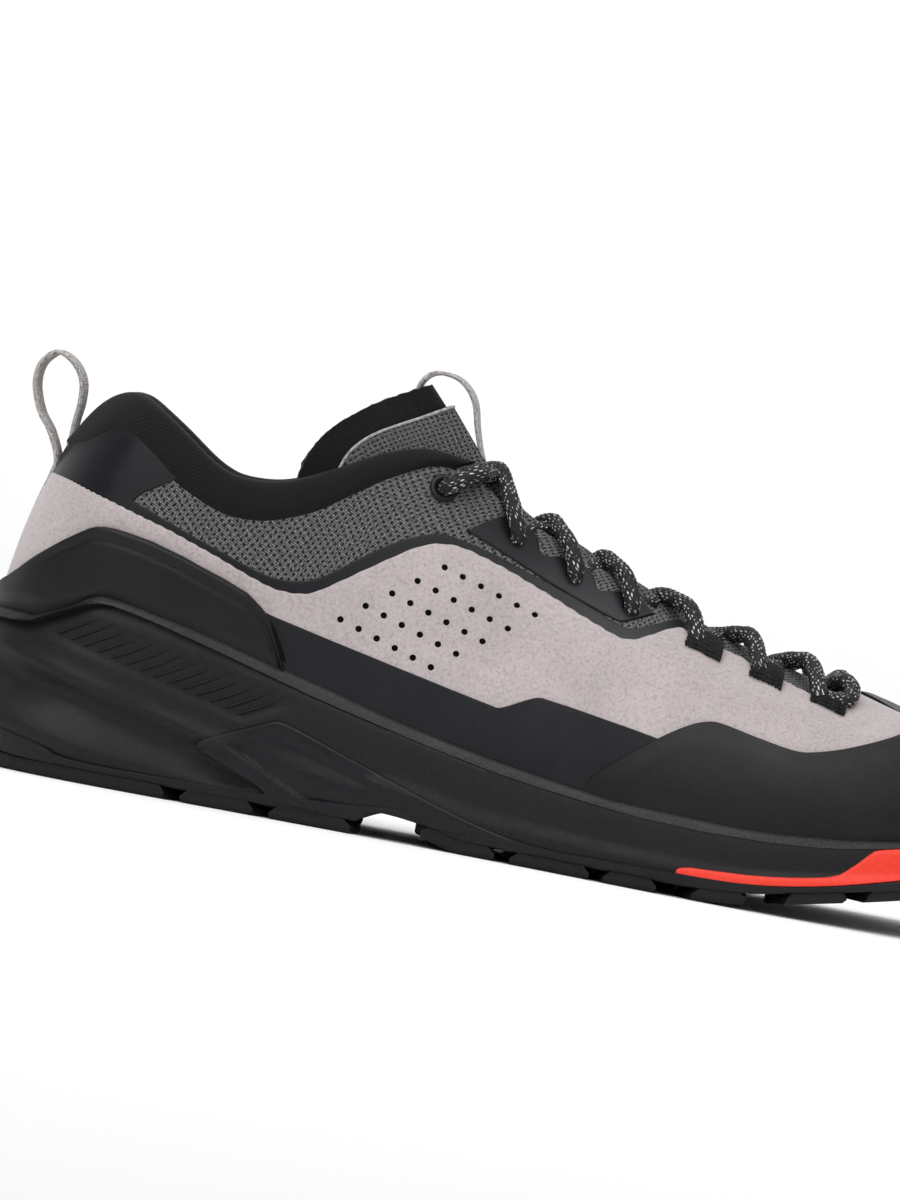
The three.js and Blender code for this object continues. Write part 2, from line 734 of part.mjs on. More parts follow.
// Tread blocks of one row: a block at each edge and the columns between
function lugRow(row) {
  const blocks = [];
  const middle = ((row.from + row.to) / 2) * LENGTH;
  const at = middle / LENGTH;
  const half = ((lateralShare(at) + medialShare(at)) / 2) * BALL_WIDTH;
  const centre = ((medialShare(at) - lateralShare(at)) / 2) * BALL_WIDTH;
  const columns = [
    { from: -1.3, to: -1 + EDGE_LUG_WIDTH },
    ...LUG_COLUMNS,
    { from: 1 - EDGE_LUG_WIDTH, to: 1.3 },
  ];
  for (const block of columns) {
    const corner = (share, x) => ({
      x: (x + row.lean * Math.abs(share) * 1.6) * LENGTH,
      y: centre + share * half,
    });
    blocks.push([
      corner(block.from, row.from),
      corner(block.from, row.to),
      corner(block.to, row.to),
      corner(block.to, row.from),
    ]);
  }
  return blocks;
}

function makeOutsole(wingOutline) {
  const plate = soleForm(0).intersect(between(plateBottom, plateTop));
  let lugs = null;
  for (const row of LUG_ROWS) {
    for (const outline of lugRow(row)) {
      const block = planBlock(outline.reverse(), -5, HEEL_STACK);
      lugs = lugs ? lugs.add(block) : block;
    }
  }
  const treadBlocks = lugs.intersect(soleForm(0)).intersect(between(tread, (x) => plateBottom(x) + 0.5));
  const wing = soleSkin(WING_PROUD, WING_THICKNESS).intersect(sideBlock(wingOutline));
  return plate.add(treadBlocks).add(wing);
}

function makeAccent(outline) {
  return soleSkin(ACCENT_PROUD, ACCENT_THICKNESS).intersect(sideBlock(outline));
}

// Overlay on the upper between the rim and its own top line
function overlay(topLine, thickness) {
  const shell = lastForm(overPanel + thickness).subtract(lastForm(overPanel));
  const first = topLine[0];
  const final = topLine[topLine.length - 1];
  const under = sideBlock([...topLine, { x: final.x, y: -FAR }, { x: first.x, y: -FAR }]);
  return shell.intersect(under).intersect(above((x) => rim(x) + RIM_MARGIN));
}

function makeRand() {
  return overlay(smooth(RAND_TOP.map(high)), RAND_THICKNESS);
}

function makeCounter() {
  const line = [{ x: -10, y: high(COUNTER_TOP[0]).y }, ...smooth(COUNTER_TOP.map(high))];
  return overlay(line, COUNTER_THICKNESS);
}

// Webbing keeper over the lace, by the throat edge
function makeKeeper(row, side) {
  const shell = lastForm(PANEL_STEP + CLEARANCE + KEEPER_THICKNESS).subtract(lastForm(overPanel));
  const corner = (dx, up) => high({ x: row.x + dx, up });
  const drop = 0.03;
  const block = sideBlock(
    [
      corner(-row.half, row.up + drop),
      corner(row.half, row.up),
      corner(row.half, row.low - drop / 2),
      corner(-row.half, row.low + drop / 2),
    ],
    side < 0 ? -FAR : 8,
    side < 0 ? -8 : FAR,
  );
  return shell.intersect(block);
}

function makeEyelet(side) {
  const base = CLEARANCE;
  const profile = [
    [EYELET_BORE / 2, base],
    [EYELET_OUTER / 2, base],
    [EYELET_OUTER / 2, base + EYELET_HEIGHT * 0.6],
    [EYELET_OUTER / 2 - 0.8, base + EYELET_HEIGHT],
    [EYELET_BORE / 2 + 0.5, base + EYELET_HEIGHT],
    [EYELET_BORE / 2, base],
  ];
  return standOn(EYELET_AT, side, profile, 14);
}

// Crest of the tongue on the centre plane, at a place along the shoe
function tongueCrest(x) {
  const crest = (share) => lastOffset(Math.acos(1 - 2 * share), 1, setIn);
  let low = 0;
  let high = 1;
  for (let i = 0; i < 30; i += 1) {
    const share = (low + high) / 2;
    if (crest(share).x < x) {
      low = share;
    } else {
      high = share;
    }
  }
  return crest(low).z;
}

// Lace bar over the tongue from one edge place to another, bent to the arch of the tongue
function laceBar(start, end) {
  const points = [];
  const bends = 6;
  const radius = LACE_DIAMETER / 2;
  const from = start.point.clone().addScaledVector(start.normal, overPanel + radius);
  const to = end.point.clone().addScaledVector(end.normal, overPanel + radius);
  for (let k = 0; k <= bends; k += 1) {
    const share = THREE.MathUtils.lerp(LACE_START, 1 - LACE_START, k / bends);
    const point = from.clone().lerp(to, share);
    const arch = 1 - Math.abs(1 - 2 * share) ** LACE_ARCH;
    const slope = (tongueCrest(point.x + 1) - tongueCrest(point.x - 1)) / 2;
    const top = tongueCrest(point.x) + (radius + LACE_LIFT) * Math.hypot(1, slope);
    point.z += Math.max(top - point.z, 0) * arch;
    points.push(point);
  }
  const circle = new THREE.Shape().absarc(0, 0, radius, 0, Math.PI * 2);
  return solid(
    new THREE.ExtrudeGeometry(circle, {
      steps: 5,
      curveSegments: 4,
      bevelEnabled: false,
      extrudePath: new THREE.CatmullRomCurve3(points),
    }),
  );
}

// Lace crossing between two rows, its two bars joined where they meet
function makeCrossing(lower, upper) {
  return laceBar(onLast(lower, -1), onLast(upper, 1)).add(laceBar(onLast(lower, 1), onLast(upper, -1)));
}

// Heel pull loop: millimetres behind the last's back line at each share of the upper height
const HEEL_LOOP_OUT = [
  { up: 0.7, back: 2.1 },
  { up: 0.745, back: 3.2 },
  { up: 0.8, back: 6.8 },
  { up: 0.87, back: 12.2 },
  { up: 0.945, back: 17 },
  { up: 1.015, back: 19.4 },
  { up: 1.058, back: 18 },
  { up: 1.068, back: 14.6 },
  { up: 1.04, back: 9.6 },
  { up: 0.99, back: 4.9 },
];
const HEEL_LOOP_IN = [
  { up: 0.99, back: 4.9 },
  { up: 0.925, back: 2.8 },
  { up: 0.85, back: 2.2 },
  { up: 0.77, back: 2.1 },
  { up: 0.67, back: 2.1 },
  { up: 0.56, back: 2.1 },
  { up: 0.47, back: 2.1 },
  { up: 0.4, back: 2.1 },
];

// Place behind the heel at a share of the upper height
function behindHeel(row) {
  const target = bed(0) + row.up * UPPER_HEIGHT;
  let low = 0;
  let high = 1;
  for (let i = 0; i < 30; i += 1) {
    const level = (low + high) / 2;
    if (lastPoint(0, level).z < target) {
      low = level;
    } else {
      high = level;
    }
  }
  return new THREE.Vector2(lastPoint(0, low).x - row.back, target);
}

function makeHeelLoop() {
  const strand = (rows) => ribbon(smooth(rows.map(behindHeel)), TAPE_THICKNESS, HEEL_LOOP_WIDTH, 0);
  return strand(HEEL_LOOP_OUT).add(strand(HEEL_LOOP_IN));
}

// Tongue pull loop: side view route
const TONGUE_LOOP = [
  { x: 0.3555, up: 1.22 },
  { x: 0.3575, up: 1.28 },
  { x: 0.371, up: 1.337 },
  { x: 0.39, up: 1.337 },
  { x: 0.405, up: 1.265 },
  { x: 0.412, up: 1.168 },
];

const wingOutline = WING.map(overTread);
const accentShape = accentOutline();

const colours = {
  rubber: { color: 0x17181b, roughness: 0.72, metalness: 0 },
  foam: { color: 0x1d1e21, roughness: 0.85, metalness: 0 },
  accent: { color: 0xe0492b, roughness: 0.6, metalness: 0 },
  panel: { color: 0x9b9496, roughness: 0.95, metalness: 0 },
  moulded: { color: 0x101114, roughness: 0.5, metalness: 0 },
  knit: { color: 0x1a1a1c, roughness: 0.95, metalness: 0 },
  tape: { color: 0x8c857d, roughness: 0.9, metalness: 0 },
  foamBed: { color: 0x2a2a2d, roughness: 0.95, metalness: 0 },
  cord: { color: 0x141416, roughness: 0.9, metalness: 0 },
};

const shoe = new THREE.Group();
shoe.position.set(-SEAT_FROM_REAR, 0, 0);

function addPiece(name, manifold, finish) {
  const mesh = manifold.getMesh();
  const geometry = new THREE.BufferGeometry();
  geometry.setAttribute('position', new THREE.BufferAttribute(mesh.vertProperties, 3));
  geometry.setIndex(new THREE.BufferAttribute(mesh.triVerts, 1));
  geometry.computeVertexNormals();
  const piece = new THREE.Mesh(geometry, new THREE.MeshStandardMaterial(colours[finish]));
  piece.name = name;
  shoe.add(piece);
}

addPiece('outsole', makeOutsole(wingOutline), 'rubber');
addPiece('midsole', makeMidsole(wingOutline, accentShape), 'foam');
addPiece('toe_accent', makeAccent(accentShape), 'accent');
addPiece('insole', makeInsole(), 'foamBed');
addPiece('upper', makeUpper(), 'panel');
addPiece('tongue', makeTongue(), 'knit');
addPiece('collar', makeCollar(), 'knit');
addPiece('toe_rand', makeRand(), 'moulded');
addPiece('heel_counter', makeCounter(), 'moulded');
addPiece('heel_pull_loop', makeHeelLoop(), 'tape');
addPiece('tongue_pull_loop', ribbon(smooth(TONGUE_LOOP.map(high)), TAPE_THICKNESS, TONGUE_LOOP_WIDTH, 0), 'tape');
const laceRows = [EYELET_AT, ...HOLES, ...KEEPERS];
laceRows.slice(1).forEach((row, i) => {
  addPiece(`lace_crossing_${i + 1}`, makeCrossing(laceRows[i], row), 'cord');
});
addPiece('lace_toe_bar', laceBar(onLast(TOE_BAR, -1), onLast(TOE_BAR, 1)), 'cord');
for (const [name, side] of [['lateral', -1], ['medial', 1]]) {
  addPiece(`eyelet_${name}`, makeEyelet(side), 'moulded');
  KEEPERS.forEach((row, i) => addPiece(`lace_keeper_${name}_${i + 1}`, makeKeeper(row, side), 'knit'));
}

export default shoe;
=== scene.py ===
"""Approach shoe for the right foot: every visible piece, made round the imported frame."""

import math

import bpy
import numpy as np
from mathutils import Matrix, Vector


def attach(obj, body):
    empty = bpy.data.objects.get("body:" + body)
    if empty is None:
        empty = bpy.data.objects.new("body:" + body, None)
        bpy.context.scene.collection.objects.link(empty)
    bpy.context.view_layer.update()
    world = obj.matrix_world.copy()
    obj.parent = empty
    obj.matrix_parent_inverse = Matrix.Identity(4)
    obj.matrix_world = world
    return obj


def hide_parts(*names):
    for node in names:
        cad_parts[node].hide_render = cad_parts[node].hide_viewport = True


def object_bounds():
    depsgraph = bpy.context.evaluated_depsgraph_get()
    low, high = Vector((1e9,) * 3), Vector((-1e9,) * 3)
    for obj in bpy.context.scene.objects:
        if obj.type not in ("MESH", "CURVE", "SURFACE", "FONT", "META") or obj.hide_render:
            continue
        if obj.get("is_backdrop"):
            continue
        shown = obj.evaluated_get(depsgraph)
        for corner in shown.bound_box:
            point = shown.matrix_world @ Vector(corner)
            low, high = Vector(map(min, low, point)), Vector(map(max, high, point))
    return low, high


bl_info = {
    "name": "Approach shoe",
    "version": (1, 0, 0),
    "blender": (4, 5, 0),
    "location": "3D View > Sidebar > Shoe",
    "description": "Makes the pieces of an approach shoe round its frame",
    "category": "Add Mesh",
}

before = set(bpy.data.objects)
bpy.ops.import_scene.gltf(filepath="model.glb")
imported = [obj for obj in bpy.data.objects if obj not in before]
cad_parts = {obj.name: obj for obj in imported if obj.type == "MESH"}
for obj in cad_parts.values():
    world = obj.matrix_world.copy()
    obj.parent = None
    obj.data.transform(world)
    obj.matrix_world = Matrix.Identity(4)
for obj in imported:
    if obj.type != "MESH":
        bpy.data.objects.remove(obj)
frame_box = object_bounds()

# Sizes of the last and sole in millimetres, from the sole's rear end

LENGTH = 300.0
BALL_WIDTH = 108.0
HEEL_STACK = 26.0
UPPER_HEIGHT = 78.0
TOE_SPRING = 20.0
HEEL_BEVEL = 3.0
ARCH_RISE = 3.6
HEEL_ROUND = 42.0
TOE_ROUND = 54.0
END_POWER = 2.15
SEAT_FROM_REAR = 42.0
LUG_DEPTH = 3.2
LAST_INSET = (9.0, 5.0, 5.0)
LAST_TUCK = 3.6
LAST_LIFT = 1.5
RIDGE_REAR = 0.25
RIDGE_FRONT = 0.873
MM = 0.001
TURN = math.pi * 2
LATERAL = -1
MEDIAL = 1
SIDES = ((LATERAL, "lateral"), (MEDIAL, "medial"))

# Plan: share of the length, lateral and medial half width as shares of the ball width
PLAN = (
    (0.0, 0.36, 0.36), (0.15, 0.37, 0.36), (0.3, 0.355, 0.33), (0.43, 0.36, 0.3), (0.54, 0.41, 0.34),
    (0.64, 0.475, 0.42), (0.72, 0.495, 0.49), (0.8, 0.48, 0.515), (0.9, 0.43, 0.5), (1.0, 0.36, 0.45),
)
# Foot bed and rim over it, as shares of the heel stack
BED = (
    (0.0, 1.04, 0.54), (0.04, 1.02, 0.55), (0.07, 1.01, 0.68), (0.105, 1.0, 0.89), (0.17, 0.98, 0.8),
    (0.3, 0.89, 0.545), (0.4, 0.77, 0.39), (0.5, 0.635, 0.32), (0.6, 0.545, 0.285), (0.7, 0.54, 0.265),
    (0.78, 0.6, 0.26), (0.85, 0.7, 0.27), (0.92, 0.85, 0.29), (1.0, 1.09, 0.33),
)
BEVEL = ((0.0, 1.0), (0.03, 0.45), (0.07, 0.0))
ARCH = ((0.365, 0.0), (0.39, 1.0), (0.425, 0.75), (0.47, 0.0))
SPRING = ((0.67, 0.0), (0.72, 0.06), (0.76, 0.17), (0.81, 0.32), (0.86, 0.48), (0.92, 0.7), (1.0, 1.0))
RIDGE = (
    (0.25, 1.8), (0.317, 1.58), (0.377, 1.385), (0.41, 1.26), (0.457, 1.07), (0.525, 0.89),
    (0.583, 0.814), (0.64, 0.728), (0.697, 0.658), (0.737, 0.613), (0.793, 0.537), (0.873, 0.42),
)
FULLNESS = (
    (0.0, 1.5), (0.1, 1.9), (0.22, 2.2), (0.4, 2.1), (0.52, 1.85), (0.64, 1.9), (0.78, 2.1), (1.0, 2.3),
)
# Side wall of the sole: share of its height, then how far it stands in at heel, side and toe
WALL = (
    (-0.12, 5.0, 2.6, 6.0), (0.1, 1.4, 0.8, 2.0), (0.34, 0.0, 0.0, 0.0), (0.52, 1.6, 1.0, 0.2),
    (0.7, 3.4, 1.2, 0.6), (0.86, 4.6, 1.7, 1.4), (1.0, 7.0, 3.6, 3.6),
)

# Lines of the side view, x from the sole's rear end and z above the ground

CHAMFER_LOW = (
    (0, 38.6), (13.0, 38.2), (19.8, 41.8), (30.9, 47.0), (37.3, 47.0), (51.9, 43.8), (89.0, 34.0),
    (91.4, 33.2), (135.9, 23.5), (162.7, 20.0), (191.8, 17.6), (226.1, 18.4), (246.0, 21.4), (262.0, 25.2),
    (280.0, 31.0), (300.0, 35.4),
)
COUNTER_TOP = (
    (-5, 45.5), (9.3, 47.2), (13.0, 50.5), (18.4, 56.5), (29.7, 65.6), (32.6, 66.9), (37.9, 66.9), (49.1, 65.0),
    (72.3, 57.4), (75.4, 55.1), (77.8, 53.4), (80.5, 50.5), (86.4, 38.6), (87.4, 36.0),
)
MUDGUARD_TOP = (
    (70.0, 55.8), (78.2, 52.6), (88.1, 50.5), (96.4, 48.7), (141.9, 39.3), (143.7, 39.4), (151.4, 43.6),
    (153.8, 44.1), (185.0, 39.3), (200.0, 36.5),
)
RAND_TOP = (
    (165.5, 20.0), (167.3, 23.1), (172.4, 29.0), (185.0, 39.3), (192.6, 44.2), (197.0, 45.8), (200.4, 46.0),
    (209.9, 44.0), (220.6, 42.2), (225.1, 42.7), (232.8, 44.8), (240.7, 47.9), (247.2, 51.0), (252.0, 54.5),
    (257.0, 60.0), (262.0, 70.0),
)
SUEDE_TOP = (
    (0, 81.0), (18.1, 78.0), (24.3, 76.5), (38.0, 72.6), (54.1, 68.1), (76.0, 60.2), (80.6, 59.0), (88.1, 59.3),
    (93.0, 62.1), (105.9, 71.3), (113.5, 76.5), (118.1, 78.4), (123.9, 79.0), (130.1, 77.8), (143.3, 73.4),
    (157.3, 67.9), (168.3, 63.7), (171.9, 62.9), (175.3, 63.4), (181.5, 66.7), (186.0, 68.6), (190.0, 66.6),
    (197.2, 65.4), (205.8, 62.4), (214.7, 59.8), (222.7, 57.6), (231.5, 55.0), (234.0, 60.0), (238.0, 75.0),
    (262.0, 90.0),
)
FILM_TOP = (
    (0, 84.0), (38.3, 75.6), (50.9, 70.6), (65.3, 65.8), (76.8, 62.0), (84.9, 61.9), (90.9, 64.1), (95.7, 67.7),
    (105.2, 75.0), (112.9, 79.3), (119.2, 81.3), (122.4, 81.1), (128.6, 79.9), (137.1, 77.6), (148.7, 73.8),
    (159.0, 70.5), (170.3, 66.0), (173.5, 65.6), (179.0, 68.0), (185.0, 70.6), (188.0, 70.0),
)
FILM_ENDS = ((20.0, 80.0), (187.5, 69.0))
HEEL_PANEL_LOW = ((0, 79.0), (20.0, 74.0), (38.0, 70.5), (38.6, 75.6), (48.8, 82.2), (50.0, 83.5))
COLLAR_LOW = (
    (0, 84.0), (20.7, 85.1), (26.0, 88.2), (30.1, 91.4), (33.2, 92.2), (36.9, 90.8), (43.0, 86.5), (48.8, 81.9),
    (57.6, 77.8), (63.4, 76.0), (68.9, 75.6), (75.1, 76.4), (81.8, 78.9), (87.6, 81.6), (92.5, 85.3),
    (102.0, 92.1), (109.8, 96.3), (114.4, 98.3), (119.1, 98.6), (124.0, 98.0),
)
COLLAR_TOP = (
    (12, 87.0), (20.2, 88.5), (23.9, 96.6), (27.0, 101.1), (30.5, 103.6), (34.4, 104.1), (38.7, 102.3),
    (47.7, 96.8), (56.8, 90.3), (61.3, 87.9), (65.5, 86.6), (73.4, 86.8), (80.2, 88.6), (90.9, 94.0),
    (100.2, 99.5), (108.6, 102.6), (115.3, 103.6), (124.0, 102.0),
)
THROAT = (
    (118.0, 101.0), (123.0, 100.6), (131.1, 93.8), (138.0, 89.9), (145.0, 87.2), (157.0, 81.6), (166.0, 78.6),
    (172.0, 75.6), (179.0, 71.6), (200.0, 63.8), (216.0, 58.6), (230.0, 53.6), (235.0, 55.0), (239.0, 70.0),
    (262.0, 90.0),
)
EYESTAY_LOW = ((126.3, 82.9), (136.9, 78.8), (153.0, 72.2), (169.0, 66.9), (171.0, 66.9), (178.6, 70.4))
EYESTAY_TOP = (
    (126.3, 83.0), (130.2, 86.1), (135.0, 88.9), (138.2, 88.9), (145.0, 85.1), (145.7, 81.5), (147.5, 80.0),
    (152.1, 81.1), (157.3, 79.8), (161.6, 77.4), (162.0, 74.7), (163.8, 73.7), (168.0, 74.6), (172.5, 75.6),
    (178.6, 70.5),
)
TONGUE_REAR = (
    (78.4, 72.0), (79.0, 80.0), (80.1, 88.7), (81.0, 94.5), (83.7, 99.8), (88.7, 105.8), (97.6, 112.5),
    (104.4, 116.0), (113.0, 118.5),
)
TONGUE_PIPING = (
    (86.0, 72.0), (87.5, 82.0), (90.6, 94.0), (92.6, 98.8), (97.3, 103.4), (102.8, 106.6), (110.5, 110.8),
    (117.9, 113.4),
)
TONGUE_FRONT = ((236.0, 44.5), (237.0, 47.0), (238.0, 51.0), (239.0, 56.0), (240.0, 62.0))
OUTSOLE_TOP = (
    (0, 15.0), (8.0, 13.5), (16.2, 10.6), (27.2, 8.4), (32.2, 5.9), (45.5, 5.5), (61.6, 5.8), (84.6, 6.0),
    (120.0, 8.6), (128.0, 9.0), (146.8, 7.2), (159.8, 6.0), (165.6, 5.6), (181.2, 6.2), (193.9, 6.3),
    (216.9, 7.0), (228.1, 8.7), (239.2, 11.1), (253.8, 15.1), (270.0, 19.4), (285.0, 23.2), (300.0, 26.4),
)
WING_TOP = (
    (67.4, 15.2), (67.9, 17.0), (69.4, 17.9), (76.0, 21.4), (83.4, 25.1), (84.9, 25.6), (86.6, 25.5),
    (89.2, 24.9), (93.2, 23.7), (109.2, 18.5), (120.1, 15.4), (134.6, 10.8), (146.8, 7.6), (156.0, 6.3),
)
WING_LOW = (
    (67.4, 15.0), (68.4, 14.1), (76.0, 11.1), (85.6, 7.3), (87.4, 5.6), (89.0, 4.2), (110.3, 4.0),
    (111.8, 6.9), (117.4, 7.9), (122.5, 7.3), (128.2, 5.9), (134.0, 5.0), (156.0, 4.8),
)
ACCENT_TOP = (
    (194.8, 6.3), (197.0, 8.3), (205.2, 8.7), (216.4, 9.4), (227.7, 11.0), (236.7, 12.9), (240.2, 16.0),
    (245.2, 21.0), (247.5, 21.9), (252.3, 23.0), (270.0, 27.4), (285.0, 31.3), (300.0, 34.4),
)
ACCENT_LOW = (
    (194.8, 6.1), (205.6, 5.9), (216.9, 6.9), (228.1, 8.6), (239.2, 11.0), (253.8, 15.0), (270.0, 19.3),
    (285.0, 23.1), (300.0, 26.3),
)
ACCENT_START = 195.7
# Edge lugs: where each starts and ends along the shoe, as shares of the length
EDGE_LUGS = (
    (0.215, 0.28), (0.295, 0.368), (0.43, 0.498), (0.512, 0.583), (0.596, 0.643), (0.675, 0.722),
    (0.758, 0.81), (0.828, 0.872), (0.888, 0.955),
)
HEEL_LUG_END = 0.2
TOE_LUG_START = 0.972
LUG_ROWS = (
    (0.05, 0.1), (0.115, 0.165), (0.18, 0.23), (0.245, 0.3), (0.43, 0.49), (0.51, 0.565), (0.585, 0.64),
    (0.66, 0.715), (0.74, 0.795), (0.82, 0.87), (0.89, 0.93),
)
LUG_COLUMNS = ((-0.62, -0.27), (-0.19, 0.19), (0.27, 0.62))

LACE_HOLES = ((118.1, 92.7), (139.2, 83.7), (156.0, 76.3), (172.2, 70.7))
KEEPERS = (
    ((188.0, 68.4), (197.6, 65.2), (188.0, 63.4), (197.6, 60.8)),
    ((206.1, 63.2), (214.5, 60.9), (206.1, 58.9), (214.5, 56.4)),
    ((222.3, 58.8), (231.7, 56.4), (222.3, 55.4), (231.7, 53.0)),
)
LACE_CREST = ((131.5, 101.4), (147.4, 90.6), (162.6, 83.6), (179.4, 76.6), (198.4, 69.5), (215.0, 65.6))
TOE_BAR_CREST = (226.8, 61.6)
HEEL_LOOP = (
    (11.3, 58.0), (12.5, 64.0), (14.2, 71.0), (16.0, 77.4), (16.6, 81.7), (13.6, 88.5), (10.0, 93.4),
    (7.6, 99.8), (7.8, 105.2), (10.4, 108.8), (13.1, 109.4), (16.8, 107.2), (19.4, 103.2), (20.0, 98.0),
    (19.5, 92.5), (19.2, 86.6), (18.6, 82.2), (17.5, 79.0),
)
TONGUE_LOOP = (
    (107.2, 111.0), (106.9, 116.9), (107.9, 120.0), (109.8, 121.9), (112.6, 122.6), (116.7, 122.0),
    (120.0, 119.8), (122.5, 116.0), (124.0, 110.4), (125.8, 105.0), (127.6, 101.0),
)
# Small punched holes: first hole of each row, and the steps along a row and between rows
PUNCH_ROWS = ((122.2, 72.6), (115.9, 67.9), (110.0, 63.5), (103.8, 59.1), (98.0, 54.5))
PUNCH_STEP = (5.1, -1.6)
PUNCHES_IN_ROW = 6
# Rib panel of the heel: where it starts, fall of its lower edge, lean, height and depth of the ribs
RIB_START = (20.9, 36.8)
RIB_DROP = 0.226
RIB_LEAN = 1.7
RIB_RISE = 7.2
RIB_DEPTH = 0.5
RIB_PITCH = 4.05
RIB_COUNT = 14


# Curves and the last's surface

def monotone(rows, column):
    """Smooth curve through one column of a table that never overshoots its rows."""
    xs = np.array([row[0] for row in rows], float)
    ys = np.array([row[column] for row in rows], float)
    step = np.diff(xs)
    slope = np.diff(ys) / step
    before = np.concatenate([[0.0], slope])
    after = np.concatenate([slope, [0.0]])
    total = before + after
    tangent = np.where(before * after > 0, 2 * before * after / np.where(total == 0, 1, total), 0.0)

    def value(x):
        at = np.clip(x, xs[0], xs[-1])
        i = np.clip(np.searchsorted(xs, at, side="right") - 1, 0, len(xs) - 2)
        u = (at - xs[i]) / step[i]
        rest = 1 - u
        return (
            ys[i] * (1 + 2 * u) * rest * rest
            + step[i] * tangent[i] * u * rest * rest
            + ys[i + 1] * u * u * (3 - 2 * u)
            - step[i] * tangent[i + 1] * u * u * rest
        )

    return value


lateral_share = monotone(PLAN, 1)
medial_share = monotone(PLAN, 2)
bed_share = monotone(BED, 1)
rim_share = monotone(BED, 2)
bevel_share = monotone(BEVEL, 1)
arch_share = monotone(ARCH, 1)
spring_share = monotone(SPRING, 1)
ridge_share = monotone(RIDGE, 1)
fullness = monotone(FULLNESS, 1)
wall_heel = monotone(WALL, 1)
wall_side = monotone(WALL, 2)
wall_toe = monotone(WALL, 3)


def bed(x):
    return bed_share(x / LENGTH) * HEEL_STACK


def rim(x):
    return bed(x) + rim_share(x / LENGTH) * HEEL_STACK


def ridge(x):
    return bed(x) + ridge_share(x / LENGTH) * UPPER_HEIGHT


def tread(x):
    at = x / LENGTH
    return bevel_share(at) * HEEL_BEVEL + arch_share(at) * ARCH_RISE + spring_share(at) * TOE_SPRING


def middle(x):
    return (medial_share(x / LENGTH) - lateral_share(x / LENGTH)) / 2 * BALL_WIDTH


def side_x(angle):
    """Place along the sole at an angle of its plan."""
    return LENGTH * (1 - np.cos(angle)) / 2


def turn_at(x):
    """Angle of the plan at a place along the sole."""
    return np.arccos(1 - 2 * np.clip(x / LENGTH, 0, 1))


def mirrored(angle, side):
    """An angle of the lateral side, or its twin on the medial side."""
    return angle if side == LATERAL else TURN - angle


def bisect(low, high, short, rounds):
    """Highest values, element by element, for which short still holds."""
    for _ in range(rounds):
        mid = (low + high) / 2
        below = short(mid)
        low = np.where(below, mid, low)
        high = np.where(below, high, mid)
    return low


def end_round(distance, size):
    u = np.clip(distance / size, 0, 1)
    return (1 - (1 - u) ** END_POWER) ** (1 / END_POWER)


def plan(angle, heel, side, toe):
    """Plan outline at an angle: 0 at the heel, a quarter turn on the lateral side, half a turn at the toe."""
    x = heel + (LENGTH - heel - toe) * (1 - np.cos(angle)) / 2
    half = (medial_share(x / LENGTH) + lateral_share(x / LENGTH)) / 2 * BALL_WIDTH - side
    ends = end_round(x - heel, HEEL_ROUND) * end_round(LENGTH - toe - x, TOE_ROUND)
    hand = np.where(np.sin(angle) >= 0, -1.0, 1.0)
    return x, middle(x) + hand * half * ends


def ridge_x(angle):
    way = (1 - np.cos(angle)) / 2
    return (RIDGE_REAR + (RIDGE_FRONT - RIDGE_REAR) * way) * LENGTH


def crest(angle):
    return ridge(ridge_x(angle))


def last(angle, level):
    """Last's surface: level -1 under the foot bed, 0 at the widest line, 1 on the ridge."""
    angle, level = np.broadcast_arrays(np.asarray(angle, float), np.asarray(level, float))
    wide_x, wide_y = plan(angle, *LAST_INSET)
    wide_z = rim(wide_x) + LAST_LIFT
    under_x, under_y = plan(angle, *(inset + LAST_TUCK for inset in LAST_INSET))
    under_z = bed(under_x) - LAST_TUCK
    turn = np.clip(-level, 0, 1) * math.pi / 2
    inward = 1 - np.cos(turn)
    down = np.sin(turn)
    way = (1 - np.cos(angle)) / 2
    top_x = ridge_x(angle)
    rise_turn = np.clip(level, 0, 1) * math.pi / 2
    power = 2 / fullness(way)
    across = 1 - np.maximum(np.cos(rise_turn), 0) ** power
    rise = np.maximum(np.sin(rise_turn), 0) ** power
    above = level >= 0
    x = np.where(above, wide_x + (top_x - wide_x) * across, wide_x + (under_x - wide_x) * inward)
    y = np.where(above, wide_y + (middle(top_x) - wide_y) * across, wide_y + (under_y - wide_y) * inward)
    z = np.where(above, wide_z + (ridge(top_x) - wide_z) * rise, wide_z + (under_z - wide_z) * down)
    return np.stack([x, y, z], -1)


def unit(vectors):
    return vectors / np.maximum(np.linalg.norm(vectors, axis=-1, keepdims=True), 1e-12)


def last_normal(angle, level):
    small = 0.004
    at = np.minimum(level, 1 - small)
    along = last(angle + small, at) - last(angle - small, at)
    upward = last(angle, np.minimum(at + small, 1)) - last(angle, at - small)
    normal = unit(np.cross(along, upward))
    x = ridge_x(angle)
    flat = unit(np.stack([ridge(x - 1) - ridge(x + 1), np.zeros_like(x), np.full_like(x, 2.0)], -1))
    return np.where((level > 1 - small)[..., None], flat, normal)


def level_at(angle, z):
    """Level of the last at a height."""
    wide_x, _ = plan(angle, *LAST_INSET)
    wide_z = rim(wide_x) + LAST_LIFT
    under_x, _ = plan(angle, *(inset + LAST_TUCK for inset in LAST_INSET))
    under_z = bed(under_x) - LAST_TUCK
    power = 2 / fullness((1 - np.cos(angle)) / 2)
    share = np.clip((z - wide_z) / (crest(angle) - wide_z), 0, 1)
    depth = np.clip((wide_z - z) / (wide_z - under_z), 0, 1)
    up = np.arcsin(share ** (1 / power)) / (math.pi / 2)
    return np.where(z >= wide_z, up, -np.arcsin(depth) / (math.pi / 2))


